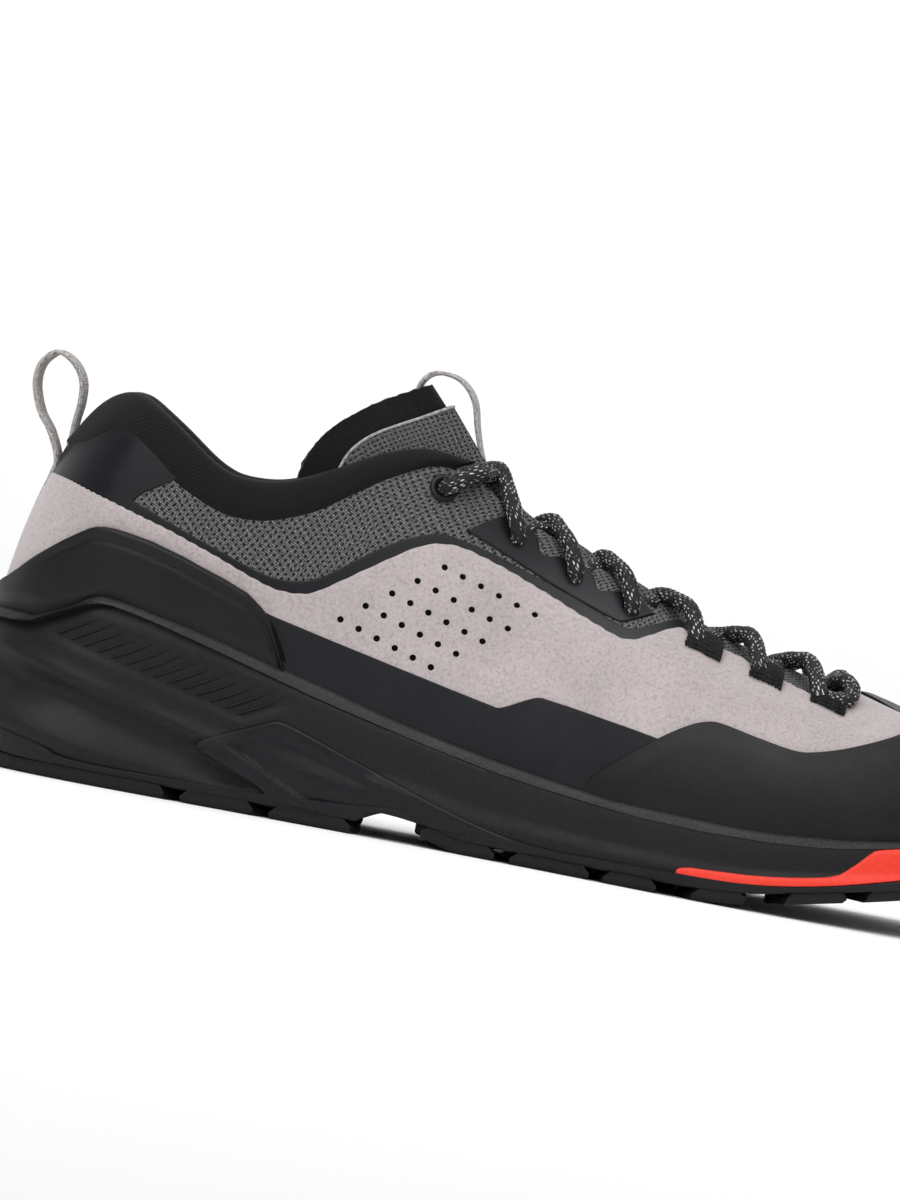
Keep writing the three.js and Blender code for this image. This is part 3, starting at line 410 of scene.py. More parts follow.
def on_shoe(angle, z, offset):
    """Point at an angle and height, moved out of the last by an offset."""
    angle, z, offset = np.broadcast_arrays(*(np.asarray(value, float) for value in (angle, z, offset)))
    level = level_at(angle, z)
    return last(angle, level) + last_normal(angle, level) * offset[..., None]


def fold(angle):
    turned = np.mod(angle, TURN)
    return np.where(turned > math.pi, TURN - turned, turned)


def angle_at(x, z):
    """Angle of the lateral side where the last shows at a place of the side view."""
    x = np.asarray(x, float)
    z = np.asarray(z, float)
    return bisect(np.zeros_like(x), np.full_like(x, math.pi), lambda mid: last(mid, level_at(mid, z))[..., 0] < x, 40)


def rounded(points, rounds=2):
    """Line with its corners cut back evenly, its ends kept."""
    line = np.array(points, float)
    for _ in range(rounds):
        cut = np.stack([line[:-1] * 0.75 + line[1:] * 0.25, line[:-1] * 0.25 + line[1:] * 0.75], 1)
        line = np.concatenate([line[:1], cut.reshape(-1, line.shape[1]), line[-1:]])
    return line


def edge(points, rounds=2):
    """Height by angle of a line drawn on the side of the upper."""
    line = rounded(points, rounds)
    angles = np.maximum.accumulate(angle_at(line[:, 0], line[:, 1]))
    return lambda angle: np.interp(fold(angle), angles, line[:, 1])


def first_angle(points):
    return float(angle_at(points[0][0], points[0][1]))


def final_angle(points):
    return float(angle_at(points[-1][0], points[-1][1]))


def wall_edge(points, rounds=1):
    """Height by angle of a line drawn on the side of the sole."""
    line = rounded(points, rounds)
    return lambda angle: np.interp(side_x(angle), line[:, 0], line[:, 1])


def on_wall(angle, z, out):
    """Point of the sole's side wall at an angle and height, moved out by a distance."""
    angle, z, out = np.broadcast_arrays(*(np.asarray(value, float) for value in (angle, z, out)))
    x0 = side_x(angle)
    up = (z - tread(x0)) / (rim(x0) - tread(x0))
    x, y = plan(angle, wall_heel(up) - out, wall_side(up) - out, wall_toe(up) - out)
    return np.stack([x, y, z], -1)


def bell(value, width):
    return np.exp(-((value / width) ** 2))


def smooth_step(value, start, end):
    u = np.clip((value - start) / (end - start), 0, 1)
    return u * u * (3 - 2 * u)


# Modelling

WELD_DISTANCE = 2e-6


def deselect():
    bpy.ops.object.select_all(action="DESELECT")


def make_active(piece):
    deselect()
    piece.select_set(True)
    bpy.context.view_layer.objects.active = piece


def grid_piece(name, places, upright=True, by_row=False):
    """Grid primitive with its corners set to places, an array of columns by rows by 3 in millimetres.

    Its cloth coordinates run along the columns and up from the ground, or from the first row if it isn't upright.
    """
    columns, rows = places.shape[0] - 1, places.shape[1] - 1
    deselect()
    bpy.ops.mesh.primitive_grid_add(x_subdivisions=columns, y_subdivisions=rows, size=2)
    piece = bpy.context.object
    piece.name = name
    piece.data.name = name
    mesh = piece.data
    count = len(mesh.vertices)
    corners = np.empty(count * 3)
    mesh.vertices.foreach_get("co", corners)
    corners = corners.reshape(-1, 3)
    column = np.rint((corners[:, 0] + 1) / 2 * columns).astype(int)
    row = np.rint((corners[:, 1] + 1) / 2 * rows).astype(int)
    shifted = (places - np.array([SEAT_FROM_REAR, 0.0, 0.0])) * MM
    mesh.vertices.foreach_set("co", shifted[column, row].reshape(-1))
    girth = np.linalg.norm(np.diff(shifted[:, rows // 2], axis=0), axis=-1)
    along = np.concatenate([[0.0], np.cumsum(girth)])
    climb = np.linalg.norm(np.diff(shifted, axis=1), axis=-1)
    up = np.concatenate([np.zeros((columns + 1, 1)), np.cumsum(climb, axis=1)], 1)
    if upright:
        up = up + shifted[:, :1, 2]
    if by_row:
        runs = np.linalg.norm(np.diff(shifted, axis=0), axis=-1)
        run = np.concatenate([np.zeros((1, rows + 1)), np.cumsum(runs, axis=0)])
        across = (run - run[-1:])[column, row]
    else:
        across = along[column]
    corner_of_loop = np.empty(len(mesh.loops), int)
    mesh.loops.foreach_get("vertex_index", corner_of_loop)
    cloth = np.stack([across, up[column, row]], -1)[corner_of_loop]
    mesh.uv_layers.active.data.foreach_set("uv", cloth.reshape(-1))
    mesh.update()
    weld_corners(piece)
    return piece


def edit_all(piece, *steps):
    """Runs edit operators on every corner of a piece."""
    make_active(piece)
    bpy.ops.object.mode_set(mode="EDIT")
    bpy.ops.mesh.select_all(action="SELECT")
    for operator, settings in steps:
        operator(**settings)
    bpy.ops.object.mode_set(mode="OBJECT")


def weld_corners(piece):
    edit_all(piece, (bpy.ops.mesh.remove_doubles, {"threshold": WELD_DISTANCE}))


def close_ends(piece):
    edit_all(piece, (bpy.ops.mesh.fill_holes, {"sides": 0}),
             (bpy.ops.mesh.normals_make_consistent, {"inside": False}))


def modify(piece, kind, **settings):
    make_active(piece)
    bpy.ops.object.modifier_add(type=kind)
    modifier = piece.modifiers[-1]
    for key, value in settings.items():
        setattr(modifier, key, value)
    bpy.ops.object.modifier_apply(modifier=modifier.name)


def thicken(piece, thickness, inner_finish=0):
    modify(piece, "SOLIDIFY", thickness=thickness * MM, offset=-1.0, material_offset=inner_finish)


def settle(piece, slot, *materials, replaces=(), smooth=40):
    """Gives a piece its finish and its body."""
    for material in materials:
        piece.data.materials.append(material)
    make_active(piece)
    bpy.ops.object.shade_smooth_by_angle(angle=math.radians(smooth))
    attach(piece, "root")
    if replaces:
        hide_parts(*replaces)
    return piece


def join_pieces(pieces, name):
    deselect()
    for piece in pieces:
        piece.select_set(True)
    bpy.context.view_layer.objects.active = pieces[0]
    if len(pieces) > 1:
        bpy.ops.object.join()
    joined = bpy.context.view_layer.objects.active
    joined.name = name
    joined.data.name = name
    return joined


# How far a panel's edge sinks into what it lies on, and how much thicker than its height it is
EDGE_SINK = 0.1
PANEL_ROOT = 0.4


def row_heights(low, top, roll, count):
    """Heights of a panel's rows and how far each lies from its nearest edge, rows closer at the edges."""
    tall = np.maximum(top - low, 0.02)
    room = np.minimum(1.0, tall / (2.4 * roll))
    near = np.array([0.0, 0.1, 0.35, 0.7, 1.0]) * roll
    lower = near[None, :] * room[:, None]
    upper = tall[:, None] - lower[:, ::-1]
    share = np.linspace(0, 1, count + 2)[1:-1]
    between = lower[:, -1:] + (upper[:, :1] - lower[:, -1:]) * share[None, :]
    from_low = np.concatenate([lower, between, upper], 1)
    from_top = tall[:, None] - from_low
    return low[:, None] + from_low, from_low, from_top, room[:, None] * roll


def edge_lift(from_edge, reach):
    """Share of a panel's full height near its rolled edge."""
    return np.sqrt(1 - (1 - np.clip(from_edge / reach, 0, 1)) ** 2)


def panel_places(low, top, start, end, proud, base, roll, count, step, relief=None):
    """Places of a panel laid on the upper between two edges, its own edges rolled down.

    A relief takes the angle, the height and the distances from the lower and upper edge, and adds to the offset.
    """
    angles = np.linspace(start, end, max(int(abs(end - start) / step), 8) + 1)
    low_z = low(angles)
    top_z = np.minimum(top(angles), crest(angles))
    heights, from_low, from_top, reach = row_heights(low_z, top_z, roll, count)
    at_crest = top_z >= crest(angles) - 1e-6
    from_edge = np.minimum(from_low, np.where(at_crest[:, None], 1e3, from_top))
    offset = base - EDGE_SINK + (proud + EDGE_SINK) * edge_lift(from_edge, reach)
    wide = np.broadcast_to(angles[:, None], heights.shape)
    if relief is not None:
        offset = offset + relief(wide, heights, from_low, from_top)
    return on_shoe(wide, heights, offset)


def panel(name, low, top, start, end, proud, base=0.0, roll=0.6, count=20, step=0.0075, relief=None,
          thickness=None):
    places = panel_places(low, top, start, end, proud, base, roll, count, step, relief)
    piece = grid_piece(name, places)
    thicken(piece, thickness or proud + PANEL_ROOT)
    return piece


def both_sides(name, low, top, start, end, *args, **kwargs):
    """Panel on the lateral side and its twin on the medial side."""
    return join_pieces([
        panel(name, low, top, start, end, *args, **kwargs),
        panel(name + "_medial", low, top, TURN - end, TURN - start, *args, **kwargs),
    ], name)


def sweep(name, path, across, section):
    """Closed section carried along a path: section is (side, rise) pairs, across the side's direction."""
    path = np.asarray(path, float)
    tangent = unit(np.gradient(path, axis=0))
    side = np.broadcast_to(np.asarray(across, float), path.shape)
    side = unit(side - tangent * np.sum(side * tangent, -1, keepdims=True))
    rise = np.cross(tangent, side)
    section = np.asarray(section, float)
    if section.ndim == 2:
        section = np.broadcast_to(section, (len(path),) + section.shape)
    places = path[:, None] + side[:, None] * section[..., :1] + rise[:, None] * section[..., 1:]
    piece = grid_piece(name, np.concatenate([places, places[:, :1]], 1), upright=False)
    close_ends(piece)
    return piece


def curve_between(a, b, c, d, t):
    """Smooth curve from b to c at shares t of the way, with a and d beyond them."""
    return 0.5 * (2 * b + (c - a) * t + (2 * a - 5 * b + 4 * c - d) * t ** 2 + (3 * b - a - 3 * c + d) * t ** 3)


def spline(points, count):
    """Even smooth path of count places through points."""
    points = np.asarray(points, float)
    padded = np.concatenate([2 * points[:1] - points[1:2], points, 2 * points[-1:] - points[-2:-1]])
    t = np.linspace(0, 1, 24, endpoint=False)[:, None]
    dense = [curve_between(*padded[i - 1:i + 3], t) for i in range(1, len(padded) - 2)]
    dense = np.concatenate(dense + [points[-1:]])
    length = np.concatenate([[0.0], np.cumsum(np.linalg.norm(np.diff(dense, axis=0), axis=-1))])
    at = np.linspace(0, length[-1], count)
    return np.stack([np.interp(at, length, dense[:, k]) for k in range(dense.shape[1])], -1)


def in_plane(line):
    """Side view line as places in the shoe's middle plane."""
    line = np.asarray(line, float)
    return np.stack([line[:, 0], np.zeros(len(line)), line[:, 1]], -1)


def seat(x, z, side, offset=0.0):
    """Place and outward normal on one side of the upper, under a place of the side view."""
    angle = np.array(mirrored(float(angle_at(x, z)), side))
    level = level_at(angle, np.array(z, float))
    normal = last_normal(angle, level)
    return last(angle, level) + normal * offset, normal


# Finishes

def add_node(tree, kind, settings=None, **inputs):
    made = tree.nodes.new(kind)
    for key, value in (settings or {}).items():
        setattr(made, key, value)
    for key, value in inputs.items():
        made.inputs[key.replace("_", " ")].default_value = value
    return made


def finish(name, colour, roughness, **sockets):
    """Material with its plain values set on the shader."""
    material = bpy.data.materials.new(name)
    material.use_nodes = True
    shader = material.node_tree.nodes["Principled BSDF"]
    shader.inputs["Base Color"].default_value = (*colour, 1)
    shader.inputs["Roughness"].default_value = roughness
    for key, value in sockets.items():
        shader.inputs[key.replace("_", " ")].default_value = value
    return material, material.node_tree, shader


def position(tree, cloth=False, scale=(1, 1, 1), turn=0.0):
    source = tree.nodes.new("ShaderNodeTexCoord")
    mapping = add_node(tree, "ShaderNodeMapping")
    mapping.inputs["Scale"].default_value = scale
    mapping.inputs["Rotation"].default_value = (0, 0, turn)
    tree.links.new(source.outputs["UV" if cloth else "Object"], mapping.inputs["Vector"])
    return mapping.outputs["Vector"]


def noise(tree, where, scale, detail=3.0, rough=0.55):
    made = add_node(tree, "ShaderNodeTexNoise", Scale=scale, Detail=detail, Roughness=rough)
    tree.links.new(where, made.inputs["Vector"])
    return made.outputs["Fac"]


def cells(tree, where, scale, random=1.0, output="Distance"):
    made = add_node(tree, "ShaderNodeTexVoronoi", Scale=scale, Randomness=random)
    tree.links.new(where, made.inputs["Vector"])
    return made.outputs[output]


def waves(tree, where, scale, distortion=0.0, direction="X"):
    made = add_node(tree, "ShaderNodeTexWave", {"bands_direction": direction}, Scale=scale, Distortion=distortion)
    tree.links.new(where, made.inputs["Vector"])
    return made.outputs["Fac"]


def ramp(tree, value, stops):
    """Colour ramp through (place, colour) stops."""
    made = tree.nodes.new("ShaderNodeValToRGB")
    stops = [(place, shade if isinstance(shade, tuple) else (shade, shade, shade)) for place, shade in stops]
    elements = made.color_ramp.elements
    for element, (place, shade) in zip(elements, (stops[0], stops[-1])):
        element.position = place
        element.color = (*shade, 1)
    for place, shade in stops[1:-1]:
        elements.new(place).color = (*shade, 1)
    tree.links.new(value, made.inputs["Fac"])
    return made.outputs["Color"]


def blend_colours(tree, factor, first, second, mode="MIX"):
    made = add_node(tree, "ShaderNodeMix", {"data_type": "RGBA", "blend_type": mode})
    for socket, value in ((made.inputs[0], factor), (made.inputs[6], first), (made.inputs[7], second)):
        if isinstance(value, bpy.types.NodeSocket):
            tree.links.new(value, socket)
        else:
            socket.default_value = value if isinstance(value, float) else (*value, 1)
    return made.outputs[2]


def combine(tree, operation, first, second):
    made = tree.nodes.new("ShaderNodeMath")
    made.operation = operation
    for socket, value in zip(made.inputs, (first, second)):
        if isinstance(value, bpy.types.NodeSocket):
            tree.links.new(value, socket)
        else:
            socket.default_value = value
    return made.outputs[0]


def raise_grain(tree, shader, value, strength, depth, under=None):
    """Bump of a value; depth is in millimetres."""
    made = add_node(tree, "ShaderNodeBump", Strength=strength, Distance=depth * MM)
    tree.links.new(value, made.inputs["Height"])
    if under is not None:
        tree.links.new(under, made.inputs["Normal"])
    tree.links.new(made.outputs["Normal"], shader.inputs["Normal"])
    return made.outputs["Normal"]


def shade_of(colour, factor):
    return tuple(channel * factor for channel in colour)


def suede_finish(colours):
    """Pale suede: soft patches, a fine nap and a low swell of the hide."""
    colour = tuple(colours.suede)
    material, tree, shader = finish("suede", colour, 0.92, Sheen_Weight=0.35, Sheen_Roughness=0.45,
                                    Specular_IOR_Level=0.2)
    where = position(tree)
    patches = ramp(tree, noise(tree, where, 45.0, 4.0), [(0.3, shade_of(colour, 0.9)), (0.7, shade_of(colour, 1.07))])
    nap = noise(tree, where, 1150.0, 4.0, 0.7)
    grain = ramp(tree, nap, [(0.3, 0.72), (0.5, 1.0), (0.72, 1.12)])
    tree.links.new(blend_colours(tree, 1.0, patches, grain, "MULTIPLY"), shader.inputs["Base Color"])
    low = noise(tree, where, 220.0, 3.0)
    first = raise_grain(tree, shader, low, 0.25, 0.35)
    raise_grain(tree, shader, nap, 0.75, 0.3, first)
    return material


def knit_finish(colours):
    """Heather mesh: small light stitches on a dark ground, with rows of open dots painted near black: the black
    lining seen through them plus painted shade in the holes.
    """
    dark = tuple(colours.mesh_dark)
    pale = tuple(colours.mesh_light)
    material, tree, shader = finish("open_mesh", dark, 0.85, Specular_IOR_Level=0.25)
    slanted = position(tree, cloth=True, scale=(1.0, 0.7, 1.0), turn=0.3)
    stitch = cells(tree, slanted, 2300.0, 0.25)
    loops = ramp(tree, stitch, [(0.22, 1.0), (0.5, 0.12)])
    tone = ramp(tree, noise(tree, slanted, 1700.0, 2.0, 0.6), [(0.36, 0.25), (0.62, 1.0)])
    thread = combine(tree, "MULTIPLY", loops, tone)
    heather = blend_colours(tree, thread, dark, pale)
    lattice = position(tree, cloth=True, scale=(1.0, 0.8, 1.0), turn=math.radians(38))
    dots = cells(tree, lattice, 700.0, 0.0)
    opening = ramp(tree, dots, [(0.16, 0.0), (0.34, 1.0)])
    # Openings are painted at a quarter of the ground colour: the black lining under the mesh, darkened further as
    # painted shade inside the holes.
    tree.links.new(blend_colours(tree, opening, shade_of(dark, 0.25), heather), shader.inputs["Base Color"])
    first = raise_grain(tree, shader, opening, 0.5, 0.35)
    raise_grain(tree, shader, thread, 0.5, 0.25, first)
    return material


def moulded_finish(name, colour, roughness, grain=900.0, depth=0.05, strength=0.3, patch=0.18, speck=0.3,
                   **sockets):
    """Rubber, foam or film: one colour with a faint uneven gloss and a fine grain."""
    sockets.setdefault("Specular_IOR_Level", 0.24)
    material, tree, shader = finish(name, colour, roughness, **sockets)
    where = position(tree)
    gloss = noise(tree, where, 60.0, 4.0)
    tree.links.new(ramp(tree, gloss, [(0.3, roughness - patch / 2), (0.7, roughness + patch / 2)]),
                   shader.inputs["Roughness"])
    specks = ramp(tree, noise(tree, where, grain * 1.6, 2.0),
                  [(0.35, shade_of(colour, 1 - speck)), (0.7, shade_of(colour, 1 + speck))])
    tree.links.new(specks, shader.inputs["Base Color"])
    raise_grain(tree, shader, noise(tree, where, grain, 3.0), strength, depth)
    return material


def rib_knit_finish(colours, name="collar_textile"):
    """Fine diagonal knit."""
    colour = tuple(colours.textile)
    material, tree, shader = finish(name, colour, 0.82, Sheen_Weight=0.05, Specular_IOR_Level=0.16)
    where = position(tree, cloth=True, turn=math.radians(40))
    ribs = waves(tree, where, 330.0, 0.0)
    cross = waves(tree, where, 420.0, 0.0, "Y")
    both = combine(tree, "MULTIPLY", ribs, combine(tree, "ADD", combine(tree, "MULTIPLY", cross, 0.5), 0.5))
    tree.links.new(ramp(tree, both, [(0.1, shade_of(colour, 0.7)), (0.9, shade_of(colour, 1.9))]),
                   shader.inputs["Base Color"])
    raise_grain(tree, shader, both, 0.5, 0.2)
    return material


def tape_finish(colours):
    """Light heather webbing."""
    colour = tuple(colours.tape)
    material, tree, shader = finish("pull_tape", colour, 0.85, Specular_IOR_Level=0.3)
    where = position(tree, cloth=True)
    rows = waves(tree, where, 420.0, 0.6)
    cross = waves(tree, where, 520.0, 0.6, "Y")
    weave = combine(tree, "MULTIPLY", rows, cross)
    flecks = noise(tree, position(tree, cloth=True, scale=(0.5, 1.2, 1.0)), 1700.0, 2.0)
    shade = ramp(tree, flecks, [(0.35, shade_of(colour, 0.45)), (0.5, colour), (0.66, shade_of(colour, 1.35))])
    tree.links.new(shade, shader.inputs["Base Color"])
    raise_grain(tree, shader, weave, 0.7, 0.25)
    return material


def lace_finish(colours):
    """Black round braid with short light flecks."""
    dark = tuple(colours.lace)
    pale = tuple(colours.lace_fleck)
    material, tree, shader = finish("lace_cord", dark, 0.72, Specular_IOR_Level=0.35)
    where = position(tree, cloth=True)
    dashes = cells(tree, position(tree, cloth=True, scale=(0.42, 1.0, 1.0), turn=0.45), 1300.0, 0.3)
    bundles = noise(tree, where, 300.0, 1.0)
    chosen = combine(tree, "MULTIPLY", ramp(tree, dashes, [(0.2, 1.0), (0.3, 0.0)]),
                     ramp(tree, bundles, [(0.4, 0.0), (0.46, 1.0)]))
    tree.links.new(blend_colours(tree, chosen, dark, pale), shader.inputs["Base Color"])
    yarn = waves(tree, position(tree, cloth=True, turn=0.6), 700.0, 1.0)
    raise_grain(tree, shader, yarn, 0.6, 0.2)
    return material


def webbing_finish(colours):
    """Black webbing, paler where its threads cross."""
    yarn = tuple(colours.lace)
    material, tree, shader = finish("keeper_webbing", yarn, 0.85, Specular_IOR_Level=0.3)
    where = position(tree, cloth=True)
    weave = combine(tree, "MULTIPLY", waves(tree, where, 560.0, 0.8), waves(tree, where, 300.0, 0.5, "Y"))
    tree.links.new(ramp(tree, weave, [(0.1, shade_of(yarn, 0.6)), (0.9, shade_of(yarn, 2.2))]),
                   shader.inputs["Base Color"])
    raise_grain(tree, shader, weave, 0.7, 0.3)
    return material


def felt_finish(colours):
    """Black felt of the tongue's raw rim."""
    colour = tuple(colours.textile)
    material, tree, shader = finish("raw_rim", colour, 0.95, Sheen_Weight=0.1, Specular_IOR_Level=0.15)
    where = position(tree)
    fluff = noise(tree, where, 800.0, 5.0, 0.7)
    tree.links.new(ramp(tree, fluff, [(0.3, shade_of(colour, 0.6)), (0.7, shade_of(colour, 1.6))]),
                   shader.inputs["Base Color"])
    raise_grain(tree, shader, fluff, 0.8, 0.4)
    return material


# Settings that a user would change

def colour_property(name, description, default):
    return bpy.props.FloatVectorProperty(name=name, description=description, default=default,
                                         subtype="COLOR", size=3, min=0.0, max=1.0)


def size_property(name, description, default):
    return bpy.props.FloatProperty(name=name, description=description, default=default * MM,
                                   unit="LENGTH", subtype="DISTANCE", min=0.0)


class ShoeSizes(bpy.types.PropertyGroup):
    """Sizes of the dressed pieces."""
    suede_thickness: size_property("Suede", "Thickness of the suede panel", 0.8)
    counter_thickness: size_property("Counter", "Thickness of the heel counter", 1.8)
    rand_thickness: size_property("Rand", "Thickness of the toe rand", 1.6)
    collar_puff: size_property("Collar puff", "How far the collar pad stands out of the wall", 1.3)
    lace_diameter: size_property("Lace", "Diameter of the round lace", 4.4)
    tongue_thickness: size_property("Tongue", "Thickness of the tongue", 3.0)
    punch_diameter: size_property("Punched holes", "Diameter of the small holes in the suede", 1.75)
    camera_distance: bpy.props.FloatProperty(name="Camera distance", default=2.6, unit="LENGTH", min=0.5,
                                             description="Distance of the camera from the shoe")


class ShoeColours(bpy.types.PropertyGroup):
    """Colours of the finishes."""
    suede: colour_property("Suede", "Lilac grey suede", (0.44, 0.386, 0.39))
    mesh_light: colour_property("Mesh thread", "Light thread of the mesh", (0.34, 0.34, 0.33))
    mesh_dark: colour_property("Mesh ground", "Dark ground of the mesh", (0.012, 0.012, 0.013))
    film: colour_property("Film", "Smooth welded film", (0.0070, 0.0074, 0.0100))
    mudguard: colour_property("Mudguard", "Grained lower panel", (0.0072, 0.0076, 0.0105))
    moulded: colour_property("Moulded parts", "Heel counter and toe rand", (0.0060, 0.0060, 0.0062))
    foam: colour_property("Foam", "Midsole foam", (0.0068, 0.0068, 0.0068))
    # The rim chamfer colour is a painted highlight: the same black foam made lighter where the top light falls on it.
    chamfer: colour_property("Rim chamfer", "Lighter chamfer of the midsole", (0.019, 0.019, 0.0185))
    rubber: colour_property("Rubber", "Outsole rubber", (0.0060, 0.0060, 0.0082))
    accent: colour_property("Accent", "Red rubber at the toe", (0.80, 0.048, 0.028))
    textile: colour_property("Collar textile", "Black collar and lining", (0.0055, 0.0055, 0.0058))
    tape: colour_property("Tape", "Pull loops", (0.42, 0.395, 0.385))
    lace: colour_property("Lace", "Black yarn", (0.010, 0.010, 0.010))
    lace_fleck: colour_property("Lace fleck", "Light yarn in the lace", (0.62, 0.60, 0.57))
    floor: colour_property("Floor", "Plain pale floor", (0.97, 0.97, 0.97))


def sizes():
    return bpy.context.scene.shoe_sizes


def colours():
    return bpy.context.scene.shoe_colours


# Sole

# How far the foam's foot lies above the outsole's under side, how far the middle line of a closed end stops from
# the ends of the sole, and how far the foam's cup lies under the foot bed
PLATE_IN_FOAM = 1.0
MIDDLE_INSET = 30.0
CUP_DROP = 3.4
# Soft bands of the heel's side: height at the first place, fall along the shoe, relief and width
BAND_START = 12.0
HEEL_BANDS = ((31.0, 0.235, 0.9, 2.2), (24.0, 0.215, -2.7, 4.4), (14.0, 0.215, 1.1, 3.2))
# How deep the foam is cut away under the wing
WING_RECESS = 1.2
# Chamfer of the rim: share of its height and how far it stands out of its foot; then the rim's inside: how far in
# and how far down it goes
CHAMFER_STEPS = ((0.12, 0.0), (0.45, -0.45), (0.8, -1.3), (0.96, -2.0), (1.0, -2.6))
CHAMFER_FOOT = (3.6, 1.5, 1.2)
RIM_STEPS = ((5.6, 0.6), (7.0, 3.0))
# Half width of a rib at the heel, and its height as a share of that
RIB_HALF_WIDTH = 0.48
RIB_HEIGHT = 1.9
RIB_SECTION = ((-1.0, 0.0), (-0.62, 0.72), (-0.2, 1.0), (0.2, 1.0), (0.62, 0.72), (1.0, 0.0), (0.0, -0.5))
# Side of the outsole's plate: share of its height and how far it stands out
PLATE_STEPS = ((0.12, -0.1), (0.4, 0.4), (0.82, 0.85), (0.96, 0.75), (1.0, -0.2))
# Section of an edge lug: how far in from the sole's edge, and height over the ground
LUG_SECTION = ((-0.1, 3.6), (-0.3, 2.0), (0.2, 0.7), (1.2, 0.0), (8.6, 0.0), (9.6, 0.6), (10.4, 3.6))
# Insole: height over the foot bed at the middle and how much more at the edge, and its thickness
INSOLE_HEIGHT = 4.2
INSOLE_DISH = 2.4
INSOLE_THICKNESS = 3.2


def whole_turn(columns):
    return np.linspace(0, TURN, columns + 1)


def rib_place(x, z):
    """How far along the rib panel's lower edge a rib through a place starts, and how high it is there."""
    from_start = x - RIB_START[0]
    rise = (z - RIB_START[1] + RIB_DROP * from_start) / (1 + RIB_DROP * RIB_LEAN)
    return from_start - RIB_LEAN * rise, rise


def soft_window(value, rise_start, rise_end, fall_start, fall_end):
    """One between two limits, with a soft rise before it and a soft fall after it."""
    return smooth_step(value, rise_start, rise_end) * (1 - smooth_step(value, fall_start, fall_end))


def midsole_relief(angle, z):
    """Sculpting of the heel's side: slanted ribs under the chamfer and soft bands below them."""
    x = side_x(angle)
    heel_fade = soft_window(x, 3, 14, 74, 92)
    bands = sum(relief * bell(z - height + fall * (x - BAND_START), width)
                for height, fall, relief, width in HEEL_BANDS)
    along, rise = rib_place(x, z)
    ribs = -RIB_DEPTH * soft_window(rise, -1.2, 0.4, RIB_RISE - 3.0, RIB_RISE + 0.8)
    ribs = ribs * soft_window(along, -5.0, -1.0, 53.5, 58.0)
    low, top = wall_edge(WING_LOW)(angle), wall_edge(WING_TOP)(angle)
    under_wing = soft_window(z, low + 0.6, low + 1.8, top - 1.8, top - 0.6) * soft_window(x, 69, 74, 142, 150)
    return (bands * heel_fade + ribs) * (1 - under_wing) - WING_RECESS * under_wing


def make_midsole():
    """Closed foam body: under side, sculpted wall, chamfer, rim and the cup under the foot bed; the chamfer's upward
    faces take a lighter foam colour as a painted highlight.
    """
    angles = whole_turn(900)
    x0 = side_x(angles)
    foot = tread(x0) + LUG_DEPTH + PLATE_IN_FOAM
    chamfer_low = wall_edge(CHAMFER_LOW)(angles)
    feather = rim(x0)
    middle_x, _ = plan(angles, MIDDLE_INSET, 0.0, MIDDLE_INSET)
    centre = np.stack([middle_x, middle(middle_x), tread(middle_x) + LUG_DEPTH + PLATE_IN_FOAM], -1)
    columns = [centre, on_wall(angles, foot, -4.0)]
    for share in np.linspace(0, 1, 46):
        z = foot + (chamfer_low - foot) * share
        columns.append(on_wall(angles, z, midsole_relief(angles, z) * smooth_step(share, 0.0, 0.12)))
    breadth = np.clip(feather - chamfer_low, 0.6, None)
    for share, out in CHAMFER_STEPS:
        x, y = plan(angles, *(foot_inset - out for foot_inset in CHAMFER_FOOT))
        columns.append(np.stack([x, y, chamfer_low + breadth * share], -1))
    for inset, drop in RIM_STEPS:
        x, y = plan(angles, inset + 2.4, inset, inset)
        columns.append(np.stack([x, y, feather - drop], -1))
    deep = np.stack([middle_x, middle(middle_x), bed(middle_x) - CUP_DROP], -1)
    rim_x, rim_y = plan(angles, 13.0, 9.5, 9.5)
    columns.append(np.stack([rim_x, rim_y, bed(rim_x) - CUP_DROP], -1))
    columns.append(deep)
    piece = grid_piece("midsole_body", np.stack(columns, 1))
    close_ends(piece)
    mesh = piece.data
    shine = moulded_finish("foam", tuple(colours().foam), 0.5, 1100.0, 0.10, 0.5, speck=0.4)
    # Second finish: the same foam, lighter, as a painted highlight on the chamfer.
    chamfer_highlight = moulded_finish("foam_chamfer_highlight", tuple(colours().chamfer), 0.5, 1300.0, 0.12, 0.6, speck=0.55)
    settle(piece, "midsole_foam", shine, chamfer_highlight, replaces=("midsole",), smooth=32)
    make_ribs(shine)
    # Upward faces of the chamfer band near the rim take the lighter second finish: a painted highlight where the top
    # light falls on the black foam.
    low = wall_edge(CHAMFER_LOW)
    for face in mesh.polygons:
        x = face.center.x / MM + SEAT_FROM_REAR
        if face.normal.z > 0.25 and x > 0:
            above = face.center.z / MM - float(low(turn_at(x)))
            if above > 0.1 and face.center.z / MM > float(rim(np.array(x))) - 6.5:
                face.material_index = 1
    return piece


